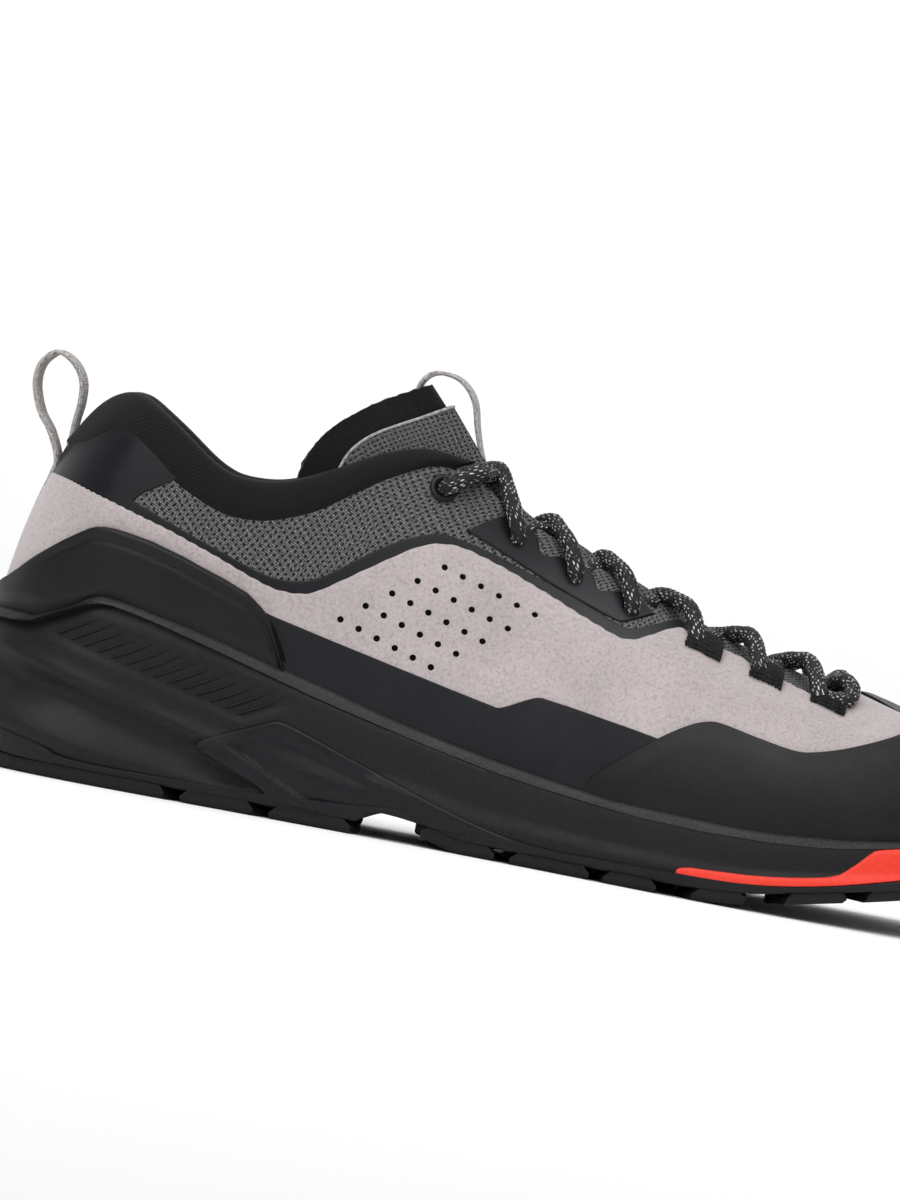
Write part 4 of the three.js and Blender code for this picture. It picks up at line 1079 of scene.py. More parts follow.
def make_ribs(foam):
    """Slanted ribs in the recessed panel at the heel."""
    share = np.linspace(0, 1, 15)
    half = RIB_HALF_WIDTH * np.minimum(1.0, 6 * share + 0.15) * (1 - 0.75 * smooth_step(share, 0.45, 1.0))
    section = np.array(RIB_SECTION)
    for hand, label in SIDES:
        made = []
        for k in range(RIB_COUNT):
            start = RIB_PITCH * k
            rise = 0.3 + (RIB_RISE - 0.6) * share
            x = RIB_START[0] + start + RIB_LEAN * rise
            z = RIB_START[1] - RIB_DROP * start + rise
            angle = turn_at(x)
            turned = mirrored(angle, hand)
            floor = on_wall(turned, z, midsole_relief(angle, z) - 0.1)
            outward = unit(on_wall(turned, z, 1.0) - on_wall(turned, z, 0.0))
            run = unit(np.gradient(floor, axis=0))
            across = np.cross(outward, run)
            places = (floor[:, None] + across[:, None] * section[None, :, :1] * half[:, None, None]
                      + outward[:, None] * section[None, :, 1:] * RIB_HEIGHT * half[:, None, None])
            rib = grid_piece("rib", np.concatenate([places, places[:, :1]], 1))
            close_ends(rib)
            made.append(rib)
        settle(join_pieces(made, "heel_ribs_" + label), "midsole_foam", foam, smooth=60)


def make_outsole():
    """Rubber plate with a row of lugs along its edge and rows of lugs inside it."""
    angles = whole_turn(720)
    x0 = side_x(angles)
    low = tread(x0) + LUG_DEPTH
    top = wall_edge(OUTSOLE_TOP)(angles)
    middle_x, _ = plan(angles, MIDDLE_INSET, 0.0, MIDDLE_INSET)
    columns = [np.stack([middle_x, middle(middle_x), tread(middle_x) + LUG_DEPTH], -1)]
    columns.append(on_wall(angles, low, -1.2))
    for share, out in PLATE_STEPS:
        columns.append(on_wall(angles, low + (top - low) * share, out))
    columns.append(on_wall(angles, top - 0.4, -5.0))
    columns.append(np.stack([middle_x, middle(middle_x), tread(middle_x) + LUG_DEPTH + 2.0], -1))
    plate = grid_piece("outsole_plate", np.stack(columns, 1))
    close_ends(plate)
    pieces = [plate]

    def edge_lug(name, start, end):
        steps = max(int((end - start) / 0.012), 6)
        turn = np.linspace(start, end, steps + 1)
        taper = 1 - 0.5 * (bell(turn - start, 0.008) + bell(turn - end, 0.008))
        x = side_x(turn)
        ground = tread(x)
        roof = ground + LUG_DEPTH + 0.8
        rows = []
        for inset, rise in LUG_SECTION:
            height = ground + np.minimum(rise, LUG_DEPTH + 0.6) * taper if rise > 1 else ground + rise
            px, py = plan(turn, inset + 2.2, inset + 1.2, inset + 3.6)
            rows.append(np.stack([px, py, np.minimum(height, roof)], -1))
        rows.append(rows[0])
        lug = grid_piece(name, np.stack(rows, 1))
        close_ends(lug)
        pieces.append(lug)

    heel_turn, toe_turn = turn_at(HEEL_LUG_END * LENGTH), turn_at(TOE_LUG_START * LENGTH)
    edge_lug("heel_lug", -heel_turn, heel_turn)
    edge_lug("toe_lug", toe_turn, TURN - toe_turn)
    for start, end in EDGE_LUGS:
        first, final = turn_at(start * LENGTH), turn_at(end * LENGTH)
        edge_lug("lug", first, final)
        edge_lug("lug", TURN - final, TURN - first)
    for start, end in LUG_ROWS:
        at = (start + end) / 2
        half = (lateral_share(at) + medial_share(at)) / 2 * BALL_WIDTH * float(
            end_round(at * LENGTH, HEEL_ROUND) * end_round(LENGTH - at * LENGTH, TOE_ROUND))
        for left, right in LUG_COLUMNS:
            deselect()
            bpy.ops.mesh.primitive_cube_add(size=1)
            block = bpy.context.object
            for corner in block.data.vertices:
                x = (start if corner.co.x < 0 else end) * LENGTH + 2.2 * (1 if left * right < 0 else 0)
                share = left if corner.co.y < 0 else right
                x += -3.0 * abs(share)
                z = tread(np.array(x)) + (0.0 if corner.co.z < 0 else LUG_DEPTH + 0.4)
                corner.co = ((x - SEAT_FROM_REAR) * MM, (middle(np.array(x)) + share * half) * MM, float(z) * MM)
            modify(block, "BEVEL", width=0.7 * MM, segments=2)
            pieces.append(block)
    piece = join_pieces(pieces, "outsole_tread")
    rubber = moulded_finish("outsole_rubber", tuple(colours().rubber), 0.42, 500.0, 0.06, 0.3)
    settle(piece, "outsole_rubber", rubber, replaces=("outsole",), smooth=35)
    return rubber


# Wing: how deep its edges sink into the foam, its ends along the shoe, and its crease's start and fall
WING_SINK = 0.3
WING_ENDS = (67.5, 155.8)
WING_CREASE = (78.2, 15.2)
WING_CREASE_FALL = 0.467


def wing_relief(x, z, top):
    """Thick upper border over a sunk facet, with a crease that runs down from its rear corner."""
    over_crease = 0.9 * (z - WING_CREASE[1] + WING_CREASE_FALL * (x - WING_CREASE[0]))
    sunk = smooth_step(top - z, 2.4, 4.6) * smooth_step(over_crease, -0.3, 1.0)
    sunk = sunk * soft_window(x, 74.0, 80.0, 110.0, 138.0)
    return 0.9 - sunk * (0.6 + 0.75 * bell(over_crease, 3.6))


def make_wing(rubber):
    """Rubber wing that climbs the arch, on both sides of the sole."""
    low_line, top_line = wall_edge(WING_LOW), wall_edge(WING_TOP)
    made = []
    for hand in (LATERAL, MEDIAL):
        angles = np.linspace(*turn_at(np.array(WING_ENDS)), 261)
        low, top = low_line(angles), top_line(angles)
        heights, from_low, from_top, reach = row_heights(low, top, 0.7, 34)
        x = np.broadcast_to(side_x(angles)[:, None], heights.shape)
        lift = edge_lift(np.minimum(from_low, from_top), reach)
        out = (WING_SINK + wing_relief(x, heights, top[:, None])) * lift - WING_SINK
        turned = np.broadcast_to(mirrored(angles, hand)[:, None], heights.shape)
        places = on_wall(turned, heights, out)
        piece = grid_piece("wing", places if hand == LATERAL else places[::-1])
        thicken(piece, 2.0)
        made.append(piece)
    settle(join_pieces(made, "outsole_wing"), "outsole_rubber", rubber, smooth=35)


def make_accent():
    """Red band round the toe."""
    start = float(turn_at(ACCENT_START))
    angles = np.linspace(start, TURN - start, 620)
    low, top = wall_edge(ACCENT_LOW)(angles), wall_edge(ACCENT_TOP)(angles)
    heights, from_low, from_top, reach = row_heights(low, top, 0.5, 10)
    lift = edge_lift(np.minimum(from_low, from_top), reach)
    places = on_wall(np.broadcast_to(angles[:, None], heights.shape), heights, -0.2 + 0.95 * lift)
    piece = grid_piece("toe_accent_band", places)
    thicken(piece, 1.4)
    red = moulded_finish("accent_rubber", tuple(colours().accent), 0.4, 700.0, 0.03, 0.2, 0.1, 0.06)
    settle(piece, "accent_rubber", red, replaces=("toe_accent",), smooth=35)


def make_insole():
    """Dished foot bed that reaches the upper's inside."""
    angles = whole_turn(240)
    x0, _ = plan(angles, 14.0, 8.0, 9.0)
    outer = on_shoe(angles, bed(x0) + 6.4, -3.0)
    x = outer[:, 0]
    centre = np.stack([x, middle(x), bed(x) + INSOLE_HEIGHT], -1)
    rows = []
    for share in np.linspace(0, 1, 16):
        place = centre + (outer - centre) * share
        place[:, 2] = bed(place[:, 0]) + INSOLE_HEIGHT + INSOLE_DISH * smooth_step(share, 0.7, 1.0)
        rows.append(place)
    piece = grid_piece("insole_bed", np.stack(rows[::-1], 1))
    thicken(piece, INSOLE_THICKNESS)
    settle(piece, "insole_textile", rib_knit_finish(colours(), "insole_textile"), replaces=("insole",), smooth=60)


# Upper

# Creases of the forefoot: place along the shoe at one height, lean, depth and half width
CREASES = ((178.0, 0.55, 0.30, 2.6), (193.0, 0.5, 0.38, 3.0), (207.0, 0.45, 0.30, 2.8))
CREASE_HEIGHT = 52.0
# Place of the side view where the collar's edge meets the throat's
COLLAR_TO_THROAT = (121.0, 99.0)
# How far the overlays reach down behind the rim of the sole
BEHIND_RIM = 2.8


def upper_top(angle):
    """Free edge of the upper: along the collar, then the throat, then the crest."""
    collar = edge(COLLAR_LOW)(angle) + 2.0
    throat = edge(THROAT, 1)(angle)
    return np.minimum(np.where(fold(angle) < angle_at(*COLLAR_TO_THROAT), collar, throat), crest(angle))


def rim_low(angle):
    """Lower edge of the upper and its overlays, under the lowest rim nearby."""
    x, _ = plan(angle, *LAST_INSET)
    return np.min([rim(x + shift) for shift in (-9, -3, 0, 5)], axis=0) - BEHIND_RIM


def make_upper():
    """Textile wall of the upper with its lining, open at the collar, the throat and the sole."""
    places = panel_places(rim_low, upper_top, 0.0, TURN, 0.0, 0.1, 0.5, 34, 0.0115)
    piece = grid_piece("upper_textile", places)
    mesh_finish = knit_finish(colours())
    piece.data.materials.append(mesh_finish)
    piece.data.materials.append(rib_knit_finish(colours(), "lining_textile"))
    thicken(piece, 2.1, inner_finish=1)
    settle(piece, "open_mesh", replaces=("upper",), smooth=60)
    return mesh_finish


def suede_relief(angle, z, from_low, from_top):
    """Soft creases where the forefoot bends, and a faint unevenness of the hide."""
    x = side_x(angle)
    side = np.sign(np.sin(angle))
    uneven = 0.10 * np.sin(x * 0.13 + z * 0.21 + side) + 0.07 * np.sin(x * 0.31 - z * 0.27 + 1.3 * side)
    flex = soft_window(x, 165, 190, 225, 245) * smooth_step(z, 44, 54)
    folds = np.zeros_like(x)
    for place, lean, depth, width in CREASES:
        from_crease = x - place - lean * (z - CREASE_HEIGHT)
        folds -= depth * bell(from_crease, width)
        folds += 0.5 * depth * bell(from_crease - 2 * width, width)
    return uneven + folds * flex


def make_panels():
    """Suede, the film along its top edge, the panels at heel and side, and the eyestay."""
    c = colours()
    suede_top = edge(SUEDE_TOP, 3)
    film = moulded_finish("smooth_film", tuple(c.film), 0.4, 1100.0, 0.03, 0.2)
    hide = suede_finish(c)

    def frayed_top(angle):
        return suede_top(angle) + 0.12 * np.sin(angle * 911)

    suede = panel("suede_quarter", rim_low, frayed_top, 0.0, TURN, sizes().suede_thickness / MM,
                  roll=0.7, count=44, step=0.0088, relief=suede_relief)
    punch_suede(suede)
    settle(suede, "suede_panel", hide, smooth=50)

    start, end = (float(angle_at(x, z)) for x, z in FILM_ENDS)
    strip = both_sides("film_strip", lambda angle: suede_top(angle) - 3.0, edge(FILM_TOP, 3), start, end, 0.35,
                       base=0.1, roll=0.4, count=6)
    settle(strip, "suede_panel", film, smooth=50)

    heel_end = final_angle(HEEL_PANEL_LOW)
    collar_low = edge(COLLAR_LOW)
    heel = panel("heel_panel", edge(HEEL_PANEL_LOW, 1), lambda angle: collar_low(angle) + 1.5, -heel_end, heel_end,
                 0.4, base=0.1, roll=0.4, count=14)
    settle(heel, "suede_panel", film, smooth=50)

    guard_finish = moulded_finish("mudguard_film", tuple(c.mudguard), 0.62, 1500.0, 0.12, 0.6)
    guard = both_sides("mudguard", rim_low, edge(MUDGUARD_TOP, 1), first_angle(MUDGUARD_TOP),
                       final_angle(MUDGUARD_TOP), 0.35, base=0.8, roll=0.35, count=26, relief=suede_relief)
    settle(guard, "suede_panel", guard_finish, smooth=50)

    stay = both_sides("eyestay", edge(EYESTAY_LOW, 1), edge(EYESTAY_TOP, 2), first_angle(EYESTAY_TOP),
                      final_angle(EYESTAY_TOP), 0.55, base=0.1, roll=0.45, count=20, step=0.003)
    settle(stay, "suede_panel", film, smooth=50)


def thinned(from_low):
    """Share by which a moulded overlay thins where it enters the sole."""
    return 1 - smooth_step(from_low, 3.0, 8.0)


def counter_relief(angle, z, from_low, from_top):
    """Raised rounded border along the top edge with a shallow gutter under it."""
    x = side_x(angle)
    border = 0.75 * bell(from_top - 1.5, 1.0)
    gutter = -0.35 * bell(from_top - 3.6, 0.9)
    return (border + gutter) * smooth_step(x, 6, 16) - 1.3 * thinned(from_low)


def rand_relief(angle, z, from_low, from_top):
    """Rubber thins towards its top edge."""
    return -0.5 * (1 - smooth_step(from_top, 0.6, 7.0)) - 1.2 * thinned(from_low)


def make_moulded():
    """Heel counter and toe rand."""
    moulded = tuple(colours().moulded)
    end = final_angle(COUNTER_TOP)
    counter = panel("heel_counter_cup", rim_low, edge(COUNTER_TOP, 1), -end, end, sizes().counter_thickness / MM,
                    base=0.9, roll=0.9, count=40, step=0.006, relief=counter_relief, thickness=2.0)
    settle(counter, "counter_moulding", moulded_finish("counter_moulding", moulded, 0.46, 1300.0, 0.06, 0.35),
           replaces=("heel_counter",), smooth=50)
    start = first_angle(RAND_TOP)
    rand_edge = edge(RAND_TOP, 2)

    def rand_top(angle):
        x = side_x(angle)
        return rand_edge(angle) + np.where(np.sin(angle) < 0, 6.5 * smooth_step(x, 226, 243), 0.0)

    rand = panel("toe_rand_cover", rim_low, rand_top, start, TURN - start, sizes().rand_thickness / MM,
                 base=1.0, roll=0.9, count=34, step=0.0075, relief=rand_relief, thickness=1.9)
    settle(rand, "rand_rubber", moulded_finish("rand_rubber", moulded, 0.5, 900.0, 0.08, 0.45),
           replaces=("toe_rand",), smooth=50)


def punch_places(side):
    for x0, z0 in PUNCH_ROWS:
        for k in range(PUNCHES_IN_ROW):
            yield seat(x0 + PUNCH_STEP[0] * k, z0 + PUNCH_STEP[1] * k, side)


def turn_to(place, normal):
    """Puts a shape made at the origin, facing up, on a place of the shoe."""
    turn = Vector((0, 0, 1)).rotation_difference(Vector(normal)).to_matrix().to_4x4()
    return Matrix.Translation(Vector(((place[0] - SEAT_FROM_REAR) * MM, place[1] * MM, place[2] * MM))) @ turn


def punch_suede(suede):
    """Cuts the small holes through the suede on both sides, with a near-black disc under each as painted shade in the
    hole.
    """
    # Near-black discs under the holes are painted shade: they hide the lighter knit that would show through the cuts.
    hole_shade_finish, _, _ = finish("punched_hole_shade", (0.003, 0.003, 0.003), 0.95, Specular_IOR_Level=0.1)
    radius = sizes().punch_diameter / 2
    cutters, hole_shades = [], []
    for side in (LATERAL, MEDIAL):
        for place, normal in punch_places(side):
            deselect()
            bpy.ops.mesh.primitive_cylinder_add(vertices=16, radius=radius, depth=5 * MM)
            cutter = bpy.context.object
            cutter.data.transform(turn_to(place, normal))
            cutters.append(cutter)
            hole_shades.append(disc(place + normal * 0.2, normal, radius / MM + 0.35, 0.1))
    cutter = join_pieces(cutters, "punch")
    modify(suede, "BOOLEAN", operation="DIFFERENCE", object=cutter, solver="EXACT")
    bpy.data.objects.remove(cutter)
    settle(join_pieces(hole_shades, "punch_hole_shade"), "suede_panel", hole_shade_finish, smooth=60)


def disc(place, normal, radius, height):
    """Low cap standing on a place, rounded down at its edge."""
    deselect()
    bpy.ops.mesh.primitive_circle_add(vertices=18, radius=radius * MM, fill_type="TRIFAN")
    made = bpy.context.object
    for corner in made.data.vertices:
        far = corner.co.length / (radius * MM)
        corner.co.z = height * (1 - 1.4 * far ** 3) * MM
    made.data.transform(turn_to(place, normal))
    thicken(made, 0.3)
    return made


# Collar, tongue and loops

COLLAR_SECTION = (
    # share of the band's height, millimetres added, offset from the wall
    (0.0, -1.2, -0.5), (0.0, 0.4, 0.35), (0.16, 0.6, 1.0), (0.42, 0.3, 1.15), (0.72, 0.0, 0.75), (0.92, -0.2, -0.3),
    (1.0, 0.0, -2.6), (1.0, -0.5, -4.9), (0.8, 0.0, -6.5), (0.4, 0.0, -7.0), (0.0, -3.0, -6.7), (0.0, -9.0, -5.4),
    (0.0, -15.0, -3.6), (0.0, -17.0, -2.6), (0.0, -9.0, -2.3), (0.0, -3.0, -2.2),
)


def closed_spline(points, per_span):
    points = np.asarray(points, float)
    looped = np.concatenate([points[-1:], points, points[:2]])
    t = np.linspace(0, 1, per_span, endpoint=False)[:, None]
    return np.concatenate([curve_between(*looped[i - 1:i + 3], t) for i in range(1, len(looped) - 2)])


# Puff that the section is drawn with, offset of the wall's inside, and the collar's ends at the throat
DRAWN_PUFF = 1.3
WALL_INSIDE = -2.6
COLLAR_END = (121.5, 99.5)


def make_collar():
    """Padded collar with its lining, carried round the opening from eyelet to eyelet."""
    end = float(angle_at(*COLLAR_END))
    angles = np.linspace(-end, end, 420)
    low, top = edge(COLLAR_LOW)(angles), edge(COLLAR_TOP)(angles)
    tall = np.maximum(top - low, 3.0)
    puff = sizes().collar_puff / MM / DRAWN_PUFF
    taper = 1 - 0.55 * smooth_step(np.abs(angles), end - 0.16, end)
    rows = []
    for share, add, offset in closed_spline(COLLAR_SECTION, 3):
        away = offset * np.where(offset > 0, puff, 1.0)
        lift = np.where(offset < WALL_INSIDE, WALL_INSIDE + (offset - WALL_INSIDE) * taper, away)
        rows.append(on_shoe(angles, low + tall * share + add, lift))
    rows.append(rows[0])
    piece = grid_piece("collar_pad", np.stack(rows, 1))
    close_ends(piece)
    settle(piece, "collar_knit", rib_knit_finish(colours()), replaces=("collar",), smooth=70)


def tongue_depth(x):
    """Offset of the tongue's outside from the last: deep behind the first holes, close under the throat."""
    return -6.3 + 3.8 * smooth_step(x, 141.0, 159.0)


def tongue_place(angle, level, depth):
    bare = last(angle, level)
    return bare + last_normal(angle, level) * (tongue_depth(bare[..., 0]) + depth)[..., None]


def tongue_crest(angle, side, depth):
    """Level at which one side of the tongue meets the other."""
    def apart(level):
        place = tongue_place(mirrored(angle, side), level, depth)
        return (place[..., 1] - middle(place[..., 0])) * side > 0

    return bisect(np.full(angle.shape, 0.2), np.full(angle.shape, 0.994), apart, 24)


# Rows of the tongue from its edge to its crest, rows on each side of the crest that are rounded together, how
# often, and how far the crest then moves
TONGUE_ROWS = 60
CREST_ROUND = 9
CREST_ROUNDS = 24
CREST_MOVE = np.array([0.8, 0.0, 1.6])
PIPING_RADIUS = 0.4
# Depth of the tongue's body and of its raw rim under the tongue's outside
BODY_DEPTH = 0.2
RIM_DEPTH = -0.9


def tongue_patch(rear, front, columns, depth):
    """Patch of the tongue between two side view lines that both run up to its crest."""
    share = np.linspace(0, 1, TONGUE_ROWS + 1)

    def along(line):
        line = rounded(line, 2)
        foot = angle_at(line[:1, 0], line[:1, 1])
        low_level = level_at(foot, line[:1, 1])[0]

        def behind(angle):
            level = low_level + (tongue_crest(angle, LATERAL, depth) - low_level) * share
            place = tongue_place(angle, level, depth)
            return place[:, 0] < np.interp(place[:, 2], line[:, 1], line[:, 0])

        angle = bisect(np.zeros_like(share), np.full_like(share, math.pi), behind, 30)
        return (1 - np.cos(angle)) / 2, low_level

    rear_way, rear_level = along(rear)
    front_way, front_level = along(front)
    across = np.linspace(0, 1, columns + 1)[:, None]
    way = rear_way[None] + (front_way - rear_way)[None] * across
    low_level = rear_level + (front_level - rear_level) * across
    angle = np.arccos(np.clip(1 - 2 * way, -1, 1))

    def half(side):
        level = low_level + (tongue_crest(angle, side, depth) - low_level) * share[None]
        return tongue_place(mirrored(angle, side), level, depth)

    lateral, medial = half(LATERAL), half(MEDIAL)
    crest_line = (lateral[:, -1:] + medial[:, -1:]) / 2
    places = np.concatenate([lateral[:, :-1], crest_line, medial[:, :-1][:, ::-1]], 1)
    near = np.abs(np.arange(2 * TONGUE_ROWS + 1) - TONGUE_ROWS)
    share_moved = np.clip(1.5 - near / CREST_ROUND, 0, 1)[None, 1:-1, None]
    for _ in range(CREST_ROUNDS):
        halfway = (places[:, :-2] + places[:, 2:]) / 2
        places[:, 1:-1] += (halfway - places[:, 1:-1]) * 0.5 * share_moved
    move = crest_line - places[:, TONGUE_ROWS:TONGUE_ROWS + 1] + CREST_MOVE
    places[:, 1:-1] += move * share_moved ** 1.5
    return places


def make_tongue(mesh_finish):
    """Tongue's body, its raw rim with a slightly ragged edge, and the pale piping between them."""
    body_places = tongue_patch(TONGUE_PIPING, TONGUE_FRONT, 150, BODY_DEPTH)
    body = grid_piece("tongue_body", body_places, by_row=True)
    thicken(body, sizes().tongue_thickness / MM)
    settle(body, "open_mesh", mesh_finish, replaces=("tongue",), smooth=60)

    forward = [(x + 4.0, z - 2.6) for x, z in TONGUE_PIPING]
    rim_places = tongue_patch(TONGUE_REAR, forward, 26, RIM_DEPTH)
    ragged = np.random.default_rng(7)
    tooth = ragged.normal(0.0, 0.12, rim_places.shape[1])
    outward = unit(rim_places[0] - rim_places[3])
    rim_places[0] += outward * tooth[:, None]
    rim_piece = grid_piece("tongue_rim", rim_places)
    thicken(rim_piece, 2.6)
    settle(rim_piece, "collar_knit", felt_finish(colours()), smooth=60)

    path = body_places[0] + unit(body_places[0] - body_places[2]) * 0.1
    ring = [(PIPING_RADIUS * math.cos(t), PIPING_RADIUS * math.sin(t)) for t in np.linspace(0, TURN, 9)[:-1]]
    piping = sweep("tongue_piping", spline(path[2:-2:2], 200), (0.0, 0.0, 1.0), ring)
    settle(piping, "pull_tape", tape_finish(colours()), smooth=60)


# Pull loops: where, side view line, places along it, width and thickness of the tape
LOOPS = (("heel", HEEL_LOOP, 190, 9.6, 1.3), ("tongue", TONGUE_LOOP, 140, 7.6, 1.15))
LOOP_TURN = math.radians(7.0)


def tape_section(width, thickness):
    half, rise, soft = width / 2, thickness / 2, thickness * 0.45
    return [(-half, -rise + soft), (-half + soft, -rise), (half - soft, -rise), (half, -rise + soft),
            (half, rise - soft), (half - soft, rise), (-half + soft, rise), (-half, rise - soft)]


def turned_across(count):
    """Width direction of a tape that turns a little as it rises from its seam."""
    rise = np.linspace(0, 1, count)
    turn = LOOP_TURN * np.sin(rise * math.pi) ** 0.6
    return np.stack([np.sin(turn), np.cos(turn), np.zeros(count)], -1)


def make_loops():
    """Pull loops of the heel and the tongue."""
    tape = tape_finish(colours())
    for place, line, count, width, thickness in LOOPS:
        loop = sweep(place + "_loop", spline(in_plane(line), count), turned_across(count),
                     tape_section(width, thickness))
        settle(loop, "pull_tape", tape, replaces=(place + "_pull_loop",), smooth=50)


# Lacing

def lace_section(path, radius):
    """Round braid: two sets of yarns wind opposite ways."""
    length = np.concatenate([[0.0], np.cumsum(np.linalg.norm(np.diff(path, axis=0), axis=-1))])
    turn = np.linspace(0, TURN, 17)[:-1]
    wave = np.cos(4 * turn[None] + 1.7 * length[:, None]) * np.cos(4 * turn[None] - 1.7 * length[:, None])
    size = radius * (1 + 0.07 * wave)
    return np.stack([size * np.cos(turn)[None], size * np.sin(turn)[None]], -1)


def lace_run(name, points):
    path = spline(points, max(int(np.linalg.norm(np.diff(np.asarray(points), axis=0), axis=-1).sum() / 0.55), 24))
    across = np.tile([0.3, 0.1, 1.0], (len(path), 1))
    return sweep(name, path, across, lace_section(path, sizes().lace_diameter / 2 / MM))


# Paths of the lace: steps from a hole in the side view, and offset from the last
FROM_EYELET = ((0.0, 0.0, -2.0), (1.6, 0.8, 2.2), (7.0, 4.0, 3.4))
FROM_HOLE = ((1.0, -1.5, -4.2), (3.6, 3.0, -1.6))
INTO_HOLE = ((-3.2, 5.0, 3.6), (0.0, 0.0, 1.9), (0.0, 0.0, -2.0))
BAR_END = ((226.5, 56.2, 1.6), (231.0, 55.6, 1.9), (232.8, 57.6, 3.0), (230.4, 59.6, 2.9))
# How far the middle of a crossing lies under its crest, how far its two runs stand apart, and how much each rises
# on its shoulder
UNDER_CREST = 2.2
RUNS_APART = 1.1
SHOULDER_RISE = {LATERAL: 1.4, MEDIAL: 0.6}


def lace_steps(hole, side, steps):
    return [seat(hole[0] + x, hole[1] + z, side, offset)[0] for x, z, offset in steps]


def over_tongue(crest_place):
    x, z = crest_place
    return np.array([x, float(middle(np.array(x))), z - UNDER_CREST])


def lacing_rows():
    """Places of the lace holes, then of the lace under the keepers."""
    keepers = [((a[0] + b[0]) / 2 - 2.5, (a[1] + b[1] + c[1] + d[1]) / 4 + 0.6) for a, b, c, d in KEEPERS]
    return list(LACE_HOLES) + keepers


def make_laces():
    """Lace from the top eyelets down to the bar over the last keepers, each crossing in two runs."""
    cord = lace_finish(colours())
    rows = lacing_rows()
    for k, crest_place in enumerate(LACE_CREST):
        top = over_tongue(crest_place)
        for side, label in SIDES:
            first = lace_steps(rows[k], -side, FROM_EYELET if k == 0 else FROM_HOLE)
            over = top - np.array([0.0, 0.0, side * RUNS_APART])
            arch, *final = lace_steps(rows[k + 1], side, INTO_HOLE)
            shoulder = top + (arch - top) * 0.45 + np.array([0.0, 0.0, SHOULDER_RISE[side]])
            run = lace_run(f"lace_run_{k + 1}_{label}", [*first, over, shoulder, arch, *final])
            replaced = (f"lace_crossing_{k + 1}",) if side == LATERAL else ()
            settle(run, "lace_cord", cord, replaces=replaced, smooth=60)
    ends = {side: lace_steps((0.0, 0.0), side, BAR_END) for side, _ in SIDES}
    bar = lace_run("lace_toe_run", [*ends[LATERAL], over_tongue(TOE_BAR_CREST), *ends[MEDIAL][::-1]])
    settle(bar, "lace_cord", cord, replaces=("lace_toe_bar",), smooth=60)


# Eyelet ring: radius of its middle line, half its width and its flatness; radius of the painted shadow disc in a lace
# hole
RING_RADIUS = 3.05
RING_HALF_WIDTH = 0.85
RING_FLATNESS = 0.7
HOLE_SHADOW_RADIUS = 2.4


def ring_on(place, normal):
    """Flattened ring lying on the surface."""
    deselect()
    bpy.ops.mesh.primitive_torus_add(major_radius=RING_RADIUS * MM, minor_radius=RING_HALF_WIDTH * MM,
                                     major_segments=40, minor_segments=12)
    made = bpy.context.object
    made.data.transform(turn_to(place, normal) @ Matrix.Diagonal((1, 1, RING_FLATNESS, 1)))
    return made


def make_eyelets():
    """Rings of the top eyelets and a painted shadow disc in every lace hole."""
    black = moulded_finish("eyelet_moulding", tuple(colours().moulded), 0.3, 900.0, 0.02, 0.1)
    dark, _, _ = finish("hole_shadow", (0.002, 0.002, 0.002), 1.0, Specular_IOR_Level=0.0)
    for side, label in SIDES:
        ring = ring_on(*seat(*LACE_HOLES[0], side, 0.55))
        ring.name = "eyelet_ring_" + label
        settle(ring, "eyelet_moulding", black, replaces=("eyelet_" + label,), smooth=60)
        shadows = []
        for k, (x, z) in enumerate(LACE_HOLES):
            place, normal = seat(x, z, side, 0.15 if k == 0 else 0.68)
            shadows.append(disc(place, normal, HOLE_SHADOW_RADIUS, 0.05))
        settle(join_pieces(shadows, "lace_hole_shadows_" + label), "eyelet_moulding", dark, smooth=60)


# Keepers: thickness of the webbing, height of the tunnel, its ribs, and the fray of the lower edge
WEBBING_THICKNESS = 0.9
TUNNEL_HEIGHT = 2.5
TUNNEL_RIB_DEPTH = 0.16
TUNNEL_RIBS = 6.5
FRAY = 0.16


def make_keepers():
    """Ribbed webbing tunnels over the lace, raw along their lower edge."""
    web = webbing_finish(colours())
    ragged = np.random.default_rng(11)
    share = np.linspace(0, 1, 41)[:, None]
    climb = np.linspace(0, 1, 45)[None, :]
    tunnel = TUNNEL_HEIGHT * np.maximum(np.sin(climb * math.pi * 0.86 + 0.12), 0) ** 0.7
    ribs = TUNNEL_RIB_DEPTH * np.cos(climb * TURN * TUNNEL_RIBS)
    bow = 1 - 0.25 * (2 * share - 1) ** 2
    offset = WEBBING_THICKNESS + (tunnel + ribs) * bow
    for number, corners in enumerate(KEEPERS, 1):
        (x0, top0), (x1, top1), (_, low0), (_, low1) = corners
        for side, label in SIDES:
            x = x0 + (x1 - x0) * share + 0 * climb
            low = low0 + (low1 - low0) * share + ragged.normal(0, FRAY, share.shape)
            top = top0 + (top1 - top0) * share
            z = low + (top - low) * climb
            places = on_shoe(mirrored(angle_at(x, z), side), z, offset)
            piece = grid_piece(f"keeper_{label}_{number}", places if side == LATERAL else places[::-1])
            thicken(piece, WEBBING_THICKNESS)
            settle(piece, "keeper_webbing", web, replaces=(f"lace_keeper_{label}_{number}",), smooth=50)


# Stage, in metres

# Floor: half width, where it starts in front of the shoe, its depth, and where and how its back curves up
FLOOR_HALF_WIDTH = 9.0
FLOOR_FRONT = -3.0
FLOOR_DEPTH = 11.0
CURVE_START = 2.2
CURVE_RADIUS = 2.0
DAYLIGHT = 0.28
SUN_STRENGTH = 2.05
SUN_SPREAD = math.radians(70)
SUN_DIRECTION = (0.1, 0.75, -1.0)
LIGHT_AIM = (0.08, 0.0, 0.05)
